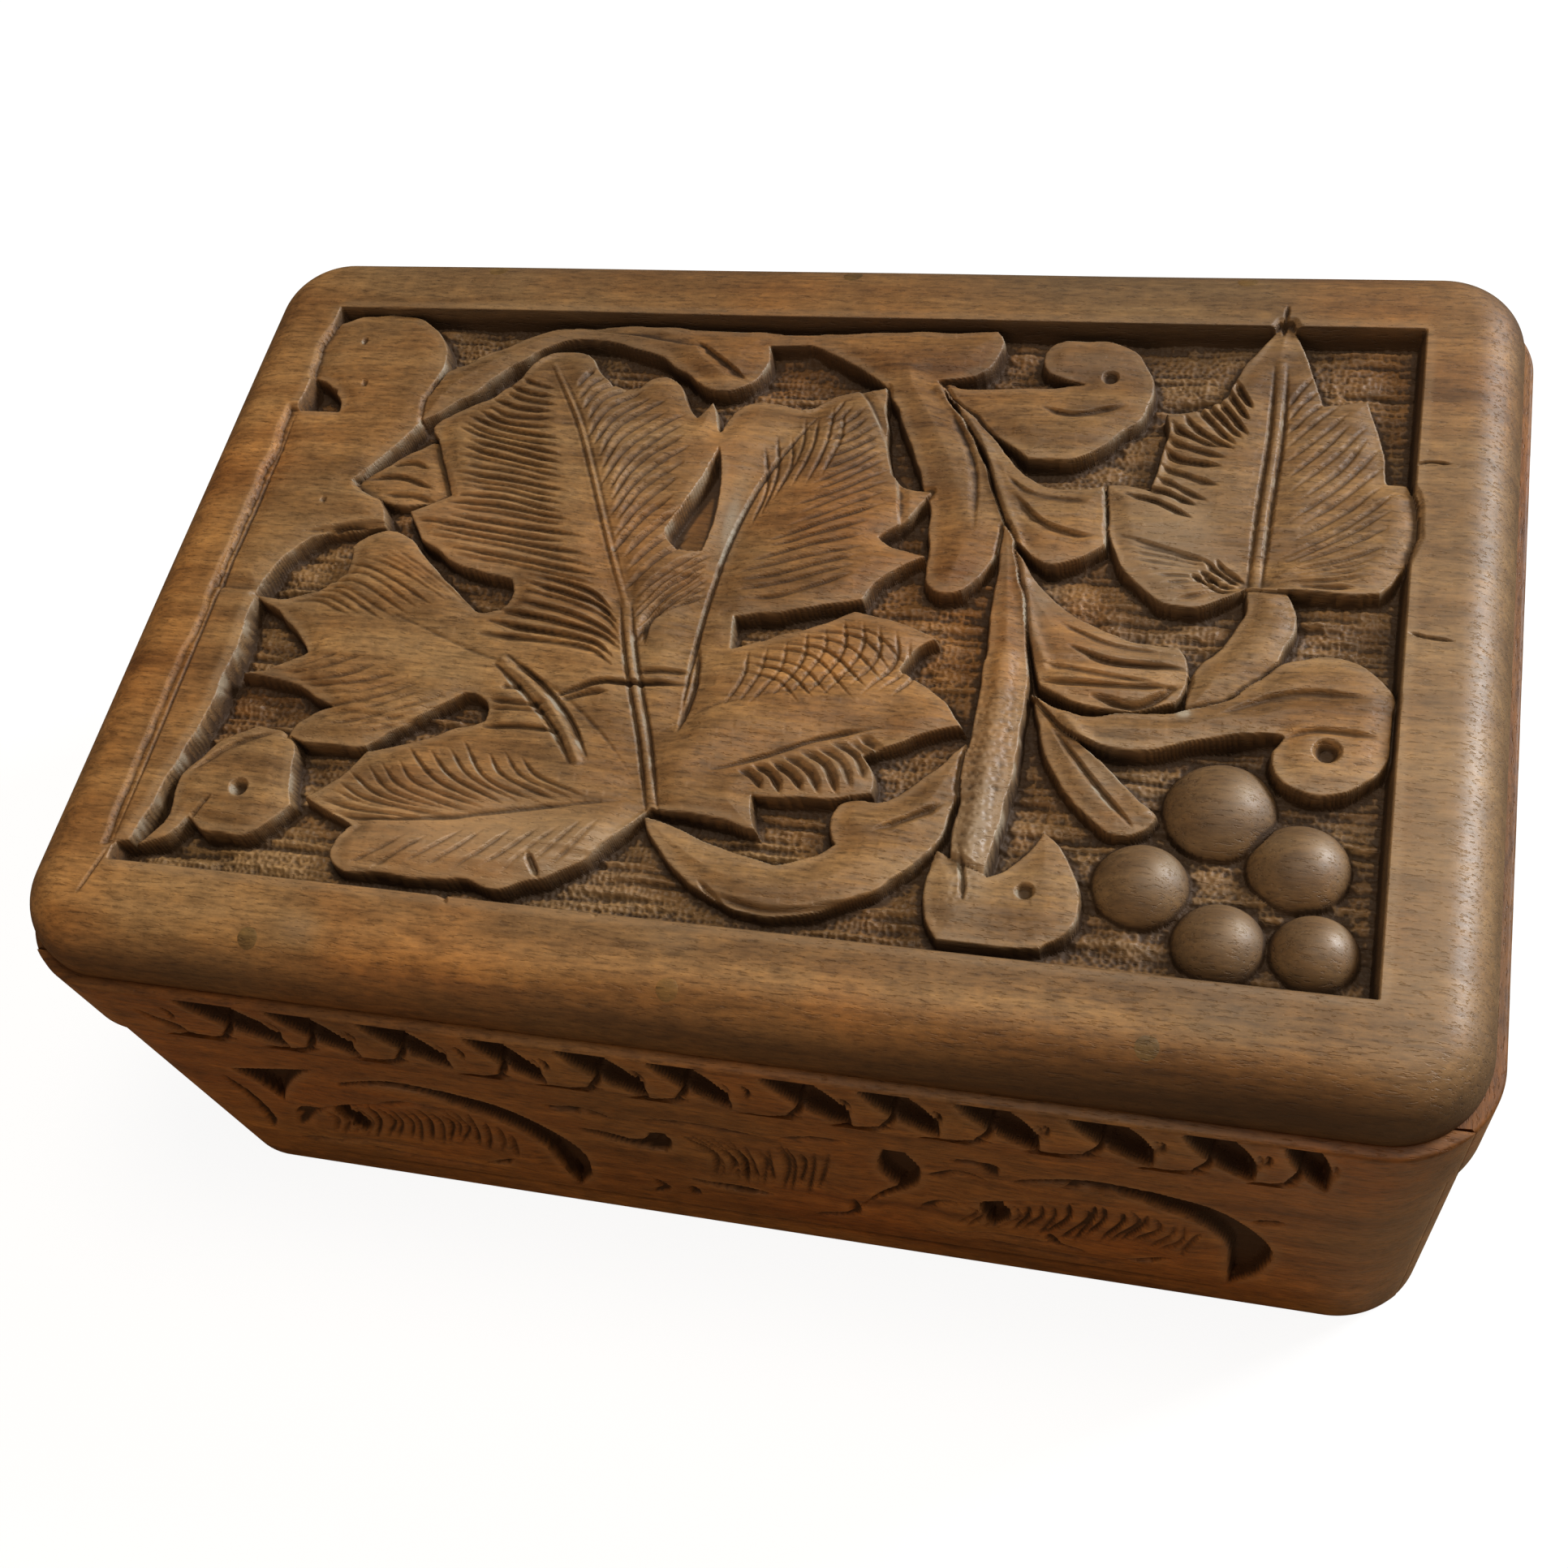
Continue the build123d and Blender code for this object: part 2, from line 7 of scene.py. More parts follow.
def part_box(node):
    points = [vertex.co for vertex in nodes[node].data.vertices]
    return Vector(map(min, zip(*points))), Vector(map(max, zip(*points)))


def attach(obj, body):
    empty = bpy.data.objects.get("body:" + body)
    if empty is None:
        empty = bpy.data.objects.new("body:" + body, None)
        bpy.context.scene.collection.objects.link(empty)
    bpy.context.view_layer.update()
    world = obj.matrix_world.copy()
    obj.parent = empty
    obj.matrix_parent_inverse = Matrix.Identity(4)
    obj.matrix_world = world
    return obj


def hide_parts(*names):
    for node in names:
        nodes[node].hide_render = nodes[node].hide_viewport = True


# Carved wooden jewelry box with a hinged lid. X runs along the front, Y from front to back and Z up.
# Sizes are typed in millimetres, and meshes are made in metres.

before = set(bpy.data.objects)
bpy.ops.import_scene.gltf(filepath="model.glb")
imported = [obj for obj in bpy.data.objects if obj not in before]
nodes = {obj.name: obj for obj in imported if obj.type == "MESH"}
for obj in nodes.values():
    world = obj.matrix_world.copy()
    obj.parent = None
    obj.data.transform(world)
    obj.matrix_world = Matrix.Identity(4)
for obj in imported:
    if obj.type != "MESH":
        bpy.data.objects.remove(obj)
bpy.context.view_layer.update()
MM = 0.001


def node_box(name):
    """Lowest and highest corner of a CAD node, in millimetres."""
    return [np.array(corner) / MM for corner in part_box(name)]


# Base walls
# Four walnut boards, rebated together at the corners and carved with a band of leaves under arched
# stalks. Each is a closed mesh: columns of points along the wall, each a ring round its section.
front_low, front_high = node_box("base_front_wall")
right_low, right_high = node_box("base_right_wall")
bottom_high = node_box("base_bottom_board")[1]
hinge_low, hinge_high = node_box("right_hinge_base_leaf")
base_half = np.array([right_high[0], -front_low[1]])
base_edge = front_high[2]
base_corner = 13.2
wall_thickness = right_high[0] - right_low[0]
corner_rebate = base_half[1] - right_high[1]
joint_gap = 0.02
thinnest_end = 0.06
arris = 0.6
knuckle_radius = 2.0
leaf_thickness = 1.2
barrel_clearance = 0.35
hinge_axis = np.array([hinge_high[1] - knuckle_radius, hinge_high[2] - knuckle_radius])
hinge_middle = (hinge_low[0] + hinge_high[0]) / 2
hinge_half = (hinge_high[0] - hinge_low[0]) / 2
band_low = 10.0
band_high = band_low + 38
band_depth = 2.4
column_step = 0.36
row_step = 0.3
# Painted shade along the foot of each board
foot_shade = 0.28
long_sides = ("front", "back")
chance = np.random.default_rng(2611)


def smooth(points, step=0.5):
    """Places along a smooth curve through the points (Catmull-Rom): between two of them the curve is the
    cubic whose ends point along the chord between their own neighbours."""
    points = np.array(points, float)
    if len(points) < 3:
        count = max(2, int(np.hypot(*(points[1] - points[0])) / step))
        return points[0] + np.linspace(0, 1, count)[:, None] * (points[1] - points[0])
    ends = np.vstack([2 * points[0] - points[1], points, 2 * points[-1] - points[-2]])
    pieces = []
    for a, b, c, d in zip(ends, ends[1:], ends[2:], ends[3:]):
        t = np.linspace(0, 1, max(3, int(np.hypot(*(c - b)) / step)), endpoint=False)[:, None]
        pieces.append(b + t * (c - a) / 2 + t**2 * (a - 2.5 * b + 2 * c - d / 2)
                      + t**3 * (1.5 * (b - c) + (d - a) / 2))
    return np.vstack(pieces + [points[-1:]])


def arc_through(start, middle, end):
    """Places along the arc through three points: round its centre, which is equally far from all."""
    (ax, ay), (bx, by), (cx, cy) = start, middle, end
    twice = 2 * (ax * (by - cy) + bx * (cy - ay) + cx * (ay - by))
    a, b, c = ax * ax + ay * ay, bx * bx + by * by, cx * cx + cy * cy
    x = (a * (by - cy) + b * (cy - ay) + c * (ay - by)) / twice
    y = (a * (cx - bx) + b * (ax - cx) + c * (bx - ax)) / twice
    angles = np.unwrap([math.atan2(v - y, u - x) for u, v in (start, middle, end)])
    turn = np.linspace(angles[0], angles[2], 9)
    radius = math.hypot(ax - x, ay - y)
    return np.column_stack([x + radius * np.cos(turn), y + radius * np.sin(turn)])


def outline(runs):
    """Closed loop of places. Each run starts where the last one ended: a run of one point is a straight
    line to it, a run of two is an arc through the first and a longer run is a smooth curve."""
    start = runs[-1][-1]
    pieces = []
    for run in runs:
        points = [start] + list(run)
        if len(run) == 1:
            pieces.append(np.array(points[:1], float))
        elif len(run) == 2:
            pieces.append(arc_through(*points)[:-1])
        else:
            pieces.append(smooth(points, 1.0)[:-1])
        start = run[-1]
    return np.vstack(pieces)


def inset_of(loop, x, y):
    """How far each place is inside a closed loop, negative outside: the distance from the nearest of its
    sides, with the sign from how often a line to the right of the place crosses the loop."""
    nearest = np.full(x.shape, 1e9)
    inside = np.zeros(x.shape, bool)
    for (ax, ay), (bx, by) in zip(loop, np.roll(loop, -1, 0)):
        dx, dy = bx - ax, by - ay
        along = np.clip(((x - ax) * dx + (y - ay) * dy) / (dx * dx + dy * dy), 0, 1)
        nearest = np.minimum(nearest, np.hypot(x - ax - along * dx, y - ay - along * dy))
        if dy:
            inside ^= ((ay > y) != (by > y)) & (x < ax + (y - ay) * dx / dy)
    return np.where(inside, nearest, -nearest)


def off_stroke(points, x, y):
    """Distance of each place from a stroke, positive on its left, and how far along it the nearest point
    is, from 0 to 1."""
    nearest = np.full(x.shape, 1e9)
    signed = nearest.copy()
    reached = np.zeros(x.shape)
    for number, ((ax, ay), (bx, by)) in enumerate(zip(points, points[1:])):
        dx, dy = bx - ax, by - ay
        along = np.clip(((x - ax) * dx + (y - ay) * dy) / (dx * dx + dy * dy), 0, 1)
        far = np.hypot(x - ax - along * dx, y - ay - along * dy)
        closer = far < nearest
        nearest = np.where(closer, far, nearest)
        side = np.where(dx * (y - ay) - dy * (x - ax) >= 0, 1, -1)
        signed = np.where(closer, far * side, signed)
        reached = np.where(closer, (number + along) / (len(points) - 1), reached)
    return signed, reached


def ease(value):
    """Value held between 0 and 1, with a soft start and end."""
    held = np.clip(value, 0, 1)
    return held * held * (3 - 2 * held)


def blurred(values, cells):
    """Mean over a square of cells round each place, as differences of running sums, made three times."""
    for axis in (0, 1, 0, 1, 0, 1):
        width = [(0, 0), (0, 0)]
        width[axis] = (cells + 1, cells)
        total = np.cumsum(np.pad(values, width, mode="edge"), axis=axis)
        size = values.shape[axis]
        ahead = np.take(total, np.arange(2 * cells + 1, 2 * cells + 1 + size), axis=axis)
        behind = np.take(total, np.arange(size), axis=axis)
        values = (ahead - behind) / (2 * cells + 1)
    return values


def scattered(x, y, pitch, seed):
    """Distance of each place from the nearest of many points, one in each square of a lattice, moved about
    at random, in units of the pitch."""
    moves = np.random.default_rng(seed).uniform(0.1, 0.9, (2, 401, 401))
    column, row = np.floor(x / pitch).astype(int), np.floor(y / pitch).astype(int)
    nearest = np.full(x.shape, 9.0)
    for dc in (-1, 0, 1):
        for dr in (-1, 0, 1):
            c, r = column + dc, row + dr
            move = moves[:, c % 401, r % 401]
            nearest = np.minimum(nearest, np.hypot(x / pitch - c - move[0], y / pitch - r - move[1]))
    return nearest


def patches_at(x, y, patches):
    """Sum of patches that fade as bell curves: each is its place, its two half sizes and its strength."""
    total = np.zeros(x.shape)
    for px, py, wide, high, strength in patches:
        total += strength * np.exp(-((x - px) / wide) ** 2 - ((y - py) / high) ** 2)
    return total


class CarvedFace:
    """Flat face to carve, as heights in millimetres over a grid of places u and v: 0 is uncut, and strokes
    stop at the deepest floor."""

    def __init__(self, u, v, deepest):
        self.u, self.v, self.deepest = u, v, deepest
        self.height = np.zeros((len(v), len(u)))
        self.cell = np.median(np.diff(v))
        self.darkening = np.zeros(self.height.shape)

    def mean_over(self, reach):
        """Heights blurred over a reach in millimetres."""
        return blurred(self.height, max(1, round(reach / self.cell)))

    def near(self, points, margin):
        """Part of the grid round some points, and the places in it."""
        low, high = points.min(0) - margin, points.max(0) + margin
        rows = slice(*np.searchsorted(self.v, (low[1], high[1])))
        columns = slice(*np.searchsorted(self.u, (low[0], high[0])))
        return (rows, columns), *np.meshgrid(self.u[columns], self.v[rows])

    def sink(self, loop, depth, wall=0.7):
        """Sinks the inside of a loop to a depth, with walls that lean by the wall's width."""
        part, x, y = self.near(loop, 0)
        inset = inset_of(loop, x, y)
        sunk = np.minimum(self.height[part], -depth * np.clip(inset / wall, 0, 1))
        self.height[part] = np.where(inset > 0, sunk, self.height[part])

    def punch(self, pitch, depth, below, seed):
        """Dents all ground lower than a level with close small bowls."""
        x, y = np.meshgrid(self.u, self.v)
        bowl = np.clip(1.2 - 1.6 * scattered(x, y, pitch, seed), 0, 1)
        self.height -= depth * bowl * ease((below - self.height) / 0.4)

    def cut(self, points, depth, left, right=None):
        """Cut along a smooth stroke: its floor is at a depth, and its sides rise over a width on the left
        and one on the right. It runs out over a quarter of its length at both ends."""
        right = left if right is None else right
        stroke = smooth(points)
        part, x, y = self.near(stroke, max(left, right))
        signed, along = off_stroke(stroke, x, y)
        run = np.clip(4 * np.minimum(along + 0.04, 1.04 - along), 0, 1)
        width = np.where(signed > 0, left, right) * (0.4 + 0.6 * run)
        spare = np.clip(2 * (self.height[part] + self.deepest), 0, 1)
        self.height[part] -= depth * run * spare * np.clip(1 - np.abs(signed) / width, 0, 1)

    def cuts(self, strokes, depth, left, right):
        """Cuts several strokes alike."""
        for stroke in strokes:
            self.cut(stroke, depth, left, right)

    def swell(self, points, rise, width, inside=None):
        """Raises, or with a negative rise hollows, a soft strip along a stroke, within a loop if given."""
        stroke = smooth(points, 1.5)
        part, x, y = self.near(stroke, 2.5 * width)
        signed, along = off_stroke(stroke, x, y)
        change = rise * np.exp(-(signed / width) ** 2)
        if inside is not None:
            change = change * ease(inset_of(inside, x, y) / 1.5 + 0.3)
        self.height[part] += change

    def fan(self, guides, count, depth, left, right=None, wander=0.25):
        """Cuts spread evenly through a row of guide strokes, each a little off its place and shorter."""
        guides = np.array(guides, float)
        for place in np.linspace(0, len(guides) - 1, count):
            first = min(int(place), len(guides) - 2)
            stroke = guides[first] + (place - first) * (guides[first + 1] - guides[first])
            stroke = stroke + chance.uniform(-wander, wander, stroke.shape)
            stroke[0] += chance.uniform(0, 0.35) * (stroke[1] - stroke[0])
            stroke[-1] += chance.uniform(0, 0.25) * (stroke[-2] - stroke[-1])
            self.cut(stroke, depth * chance.uniform(0.7, 1.15), left, right)

    def uneven(self, reach):
        """Random heights with a spread of 1 that change over a reach in millimetres."""
        values = blurred(chance.normal(0, 1, self.height.shape), max(1, round(reach / self.cell)))
        return values / values.std()

    def age(self, patches, shallow, deep, share, rim_light=0.0, lighter_and_highlit=()):
        """Marks of dirt, wear, colour and painted light and shade. Darkening is the face's darkened patches,
        plus dirt and painted shade in fine hollows, painted shade on steep sides and, by a share, painted
        shade where the height falls from one depth to another. Wear is on what stands out, with lighter
        patches added, some of them painted highlights. The tone mark is the sum of patches, less painted
        light: pale rims that face the window, right and behind, where the painted shade is lifted too."""
        slope_v, slope_u = np.gradient(self.height, self.v, self.u)
        steep = ease((np.hypot(slope_u, slope_v) - 1.0) / 3)
        # Painted light: pale rims where the surface faces the window, to the right and behind
        painted_rim_light = rim_light * ease((-0.85 * slope_u - 0.5 * slope_v - 0.5) / 0.8)
        painted_rim_light *= ease((self.height + 3.0) / 1.5) * ease(0.6 + 0.45 * self.uneven(0.7))
        # Dirt and painted shade: darker in fine hollows, on steep sides and by how deep the cut is
        dirt_and_shade = self.darkening + 0.35 * ease((self.mean_over(2.2) - self.height) / 1.8)
        dirt_and_shade += 0.6 * ease((self.mean_over(0.55) - self.height) / 0.2)
        dirt_and_shade += 0.5 * steep + share * ease((-self.height - shallow) / (deep - shallow))
        places = np.meshgrid(self.u, self.v)
        self.marks = {
            "hollow": np.clip(dirt_and_shade, 0, 0.93) * (1 - 0.8 * painted_rim_light),
            "wear_and_highlight": 0.4 * ease((self.height - self.mean_over(0.9)) / 0.5) + patches_at(*places, lighter_and_highlit),
            "tone_and_highlight": patches_at(*places, patches) - 1.7 * painted_rim_light,
        }


def grid_quads(rows, columns, around=False, closed=False):
    """Quads between the neighbours of a grid of points numbered row by row. With around, the last point
    of each row is joined to its first, and with closed, the last row to the first row."""
    row = np.arange(rows if closed else rows - 1)[:, None]
    row, below = row * columns, (row + 1) % rows * columns
    column = np.arange(columns if around else columns - 1)
    after = (column + 1) % columns
    corners = [row + column, below + column, below + after, row + after]
    return np.stack([corner.ravel() for corner in corners], 1)


def placed_object(name, data):
    """New object of a mesh, light or camera, in the scene."""
    made = bpy.data.objects.new(name, data)
    bpy.context.scene.collection.objects.link(made)
    return made


def make_mesh(name, points, quads, caps=(), marks=None):
    """Object of a closed mesh from points in millimetres, quads and many-sided caps, facing outwards:
    all faces are turned if its signed volume is below zero. Marks are named values of the points."""
    a, b, c, d = (points[quads[:, corner]] for corner in range(4))
    if np.einsum("ij,ij->i", a, np.cross(b, c) + np.cross(c, d)).sum() < 0:
        quads = quads[:, ::-1]
        caps = [cap[::-1] for cap in caps]
    corners = np.concatenate([quads.ravel(), *caps]).astype(np.int32)
    sizes = np.array([4] * len(quads) + [len(cap) for cap in caps])
    mesh = bpy.data.meshes.new(name)
    mesh.vertices.add(len(points))
    mesh.vertices.foreach_set("co", (points * MM).astype(np.float32).ravel())
    mesh.loops.add(len(corners))
    mesh.loops.foreach_set("vertex_index", corners)
    mesh.polygons.add(len(sizes))
    mesh.polygons.foreach_set("loop_start", (np.cumsum(sizes) - sizes).astype(np.int32))
    mesh.update(calc_edges=True)
    mesh.shade_smooth()
    mesh.set_sharp_from_angle(angle=math.radians(60))
    for mark, values in (marks or {}).items():
        layer = mesh.attributes.new(mark, "FLOAT", "POINT")
        layer.data.foreach_set("value", np.asarray(values, np.float32).ravel())
    return placed_object(name, mesh)


def coat(piece, material):
    """Gives a piece one material."""
    piece.data.materials.clear()
    piece.data.materials.append(material)


def dress(piece, body, slot, material, *nodes):
    """Gives a piece its material, and fixes it to a body in the place of CAD nodes. The slot is not used."""
    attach(piece, body)
    coat(piece, material)
    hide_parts(*nodes)


def give(tree, node, inputs):
    """Sets the inputs of a shader node. An input is a value, or the output that it is linked to."""
    for key, value in inputs.items():
        if isinstance(value, bpy.types.NodeSocket):
            tree.links.new(value, node.inputs[key])
        else:
            node.inputs[key].default_value = value


def add(tree, kind, inputs=None, **settings):
    """New shader node with its settings and inputs."""
    made = tree.nodes.new(kind)
    for key, value in settings.items():
        setattr(made, key, value)
    give(tree, made, inputs or {})
    return made


def ramp(tree, value, stops):
    """Colour output of a ramp with stops of (position, colour)."""
    made = add(tree, "ShaderNodeValToRGB", {"Fac": value})
    elements = made.color_ramp.elements
    while len(elements) < len(stops):
        elements.new(0.5)
    for element, (position, colour) in zip(elements, stops):
        element.position = position
        element.color = (*colour, 1)
    return made.outputs["Color"]


def grey_ramp(tree, value, low, high):
    """Value that rises from 0 at low to 1 at high."""
    return add(tree, "ShaderNodeMapRange", {"Value": value, "From Min": low, "From Max": high}).outputs[0]


def mixed(tree, share, first, second, blend="MIX"):
    """Colour output of a mix of two colours."""
    made = add(tree, "ShaderNodeMix", {0: share, 6: first, 7: second}, data_type="RGBA", blend_type=blend)
    return made.outputs[2]


def calc(tree, operation, *values):
    """Output of a Math node."""
    return add(tree, "ShaderNodeMath", dict(enumerate(values)), operation=operation).outputs[0]


def walnut_group():
    """Node group of oiled walnut with its grain along X. Place is in millimetres. Hollow darkens for dirt and
    for painted shade, the wear mark lightens and shines for wear and for painted highlights, and the tone
    mark turns the colour to orange above 0, to grey below it and to a pale grey towards -2, the pale grey
    being painted light on lit rims and highlights."""
    tree = bpy.data.node_groups.new("walnut", "ShaderNodeTree")
    for name, kind in (("Place", "Vector"), ("Hollow", "Float"), ("Wear_and_highlight", "Float"), ("Tone_and_highlight", "Float")):
        tree.interface.new_socket(name, in_out="INPUT", socket_type="NodeSocket" + kind)
    for name, kind in (("Colour", "Color"), ("Roughness", "Float"), ("Shine", "Float"), ("Height", "Float")):
        tree.interface.new_socket(name, in_out="OUTPUT", socket_type="NodeSocket" + kind)
    given = add(tree, "NodeGroupInput").outputs
    place, hollow, wear_and_highlight, tone_and_highlight = given["Place"], given["Hollow"], given["Wear_and_highlight"], given["Tone_and_highlight"]

    def moved(operation, *values):
        """Output of a Vector Math node."""
        made = add(tree, "ShaderNodeVectorMath", dict(enumerate(values)), operation=operation)
        return made.outputs["Vector"]

    def stretched(amount):
        """Place with its length along the grain drawn in, which draws a pattern out along the grain."""
        return moved("MULTIPLY", place, (amount, 1, 1))

    def noise(vector, scale, detail, rough=0.55):
        """Grey of a noise of so many waves a millimetre."""
        return add(tree, "ShaderNodeTexNoise", {"Vector": vector, "Scale": scale, "Detail": detail,
                                                "Roughness": rough}).outputs["Fac"]

    sway = moved("MULTIPLY", stretched(0.25), (0.035, 0.035, 0.035))
    drift = add(tree, "ShaderNodeTexNoise", {"Vector": sway, "Scale": 1.0, "Detail": 2.0}).outputs["Color"]
    swayed = moved("MULTIPLY_ADD", drift, (16, 16, 16), stretched(0.045))
    figure = noise(swayed, 0.16, 5.0, 0.6)
    streaks = noise(swayed, 0.9, 4.0, 0.65)
    fibres = noise(stretched(0.19), 1.6, 5.0, 0.68)
    pores = noise(stretched(0.20), 2.6, 2.0)
    flecks = noise(stretched(0.26), 1.1, 3.0)
    patches = noise(place, 0.021, 3.0)
    mottle = noise(place, 0.22, 7.0, 0.78)

    # The wood's own colour, then what tints it, then what lies in and on it, painted shade and painted light
    # among it
    wood = ramp(tree, figure, [(0.30, (0.112, 0.054, 0.0185)), (0.46, (0.188, 0.099, 0.037)),
                               (0.58, (0.240, 0.134, 0.053)), (0.72, (0.300, 0.176, 0.073))])
    for value, share, stops in (
            (streaks, 0.30, [(0.33, (0.42, 0.38, 0.34)), (0.62, (1, 1, 1))]),
            (mottle, 0.80, [(0.36, (0.72, 0.71, 0.70)), (0.50, (1, 1, 1)), (0.64, (1.26, 1.22, 1.12))]),
            (patches, 1.0, [(0.46, (1, 1, 1)), (0.66, (1.18, 0.98, 0.74))]),
            (fibres, 1.0, [(0.34, (0.62, 0.60, 0.58)), (0.47, (1, 1, 1)), (0.64, (1.28, 1.27, 1.24))])):
        wood = mixed(tree, share, wood, ramp(tree, value, stops), "MULTIPLY")
    for value, low, high, most, colour, blend in (
            (flecks, 0.62, 0.74, 0.35, (0.055, 0.026, 0.011, 1), "MIX"),
            (pores, 0.58, 0.68, 0.30, (0.050, 0.024, 0.010, 1), "MIX"),
            # The tone mark: orange and grey tones, and below -0.8 a pale grey that is painted light on lit
            # rims and highlights
            (tone_and_highlight, 0.0, 1.0, 0.80, (1.42, 1.08, 0.62, 1), "MULTIPLY"),
            (tone_and_highlight, 0.0, -1.0, 0.60, (0.19, 0.135, 0.085, 1), "MIX"),
            (tone_and_highlight, -0.8, -2.0, 0.75, (0.36, 0.32, 0.25, 1), "MIX"),
            # The wear mark: lighter for wear and for painted highlights
            (wear_and_highlight, 0.0, 2.0, 1.0, (0.36, 0.235, 0.125, 1), "MIX"),
            # The darkest colour, for dirt and painted shade
            (hollow, 0.0, 1.0, 1.0, (0.030, 0.0145, 0.006, 1), "MIX")):
        share = calc(tree, "MULTIPLY", grey_ramp(tree, value, low, high), most)
        wood = mixed(tree, share, wood, colour, blend)

    rough = calc(tree, "MULTIPLY_ADD", streaks, 0.25, 0.36)
    rough = calc(tree, "MULTIPLY_ADD", hollow, 0.25, rough)
    rough = calc(tree, "MULTIPLY_ADD", wear_and_highlight, -0.08, rough)
    shine = calc(tree, "MULTIPLY_ADD", wear_and_highlight, 0.20, 0.30)
    pitted = calc(tree, "SUBTRACT", fibres, grey_ramp(tree, pores, 0.58, 0.68))
    height = calc(tree, "MULTIPLY", pitted, 0.7)
    add(tree, "NodeGroupOutput", {"Colour": wood, "Roughness": rough, "Shine": shine, "Height": height})
    return tree


walnut = walnut_group()


def new_material(name):
    """New material, with its node tree and its surface shader."""
    material = bpy.data.materials.new(name)
    material.use_nodes = True
    return material, material.node_tree, material.node_tree.nodes["Principled BSDF"]


def walnut_material(name, turn=0.0, tint=(1, 1, 1), start=(0, 0, 0)):
    """Walnut whose grain is turned from X about Z, with the marks of a carved mesh as dirt, wear, painted
    shade and painted light.
    """
    material, tree, surface = new_material(name)
    coordinates = add(tree, "ShaderNodeTexCoord").outputs["Object"]
    place = add(tree, "ShaderNodeMapping", {"Vector": coordinates, "Location": start,
                                            "Rotation": (0, 0, turn), "Scale": (1 / MM,) * 3})
    inputs = {"Place": place.outputs["Vector"]}
    for mark in ("Hollow", "Wear_and_highlight", "Tone_and_highlight"):
        inputs[mark] = add(tree, "ShaderNodeAttribute", attribute_name=mark.lower()).outputs["Fac"]
    grain = add(tree, "ShaderNodeGroup", inputs, node_tree=walnut).outputs
    bump = add(tree, "ShaderNodeBump", {"Height": grain["Height"], "Distance": 0.00012, "Strength": 0.7})
    give(tree, surface, {"Base Color": mixed(tree, 1.0, grain["Colour"], (*tint, 1), "MULTIPLY"),
                         "Roughness": grain["Roughness"], "Specular IOR Level": grain["Shine"],
                         "Normal": bump.outputs["Normal"]})
    return material


def on_side(side, half, points):
    """Places in the box of points (across, inwards, up) of one side, seen from outside it."""
    across = {"front": (1, 0), "back": (-1, 0), "left": (0, -1), "right": (0, 1)}[side]
    inwards = np.array([-across[1], across[0]])
    reach = half[1] if side in long_sides else half[0]
    flat = points[..., :1] * across + (points[..., 1:2] - reach) * inwards
    return np.concatenate([flat, points[..., 2:]], -1)


def board_columns(side, half, corner, step):
    """Lengths along a side's outer face, from its middle, at which a board has columns of points. They are
    doubled at the rebates, and at the hinges along the back."""
    long = side in long_sides
    straight = (half[0] if long else half[1]) - corner
    if long:
        bend = math.acos(1 - (corner_rebate - thinnest_end) / corner)
        doubled = [half[0] - wall_thickness]
    else:
        bend = math.asin((corner - corner_rebate - joint_gap) / corner)
        doubled = []
    end = straight + corner * bend
    if side == "back":
        doubled += [hinge_middle - hinge_half, hinge_middle + hinge_half]
    steps = [end]
    for place in doubled:
        along = place if place < straight else straight + corner * math.asin((place - straight) / corner)
        steps += [along - joint_gap, along + joint_gap]
    steps = np.sort(np.array([-s for s in steps] + steps))
    fill = [np.linspace(a, b, max(2, int((b - a) / step) + 1))[:-1] for a, b in zip(steps, steps[1:])]
    return np.concatenate(fill + [steps[-1:]])


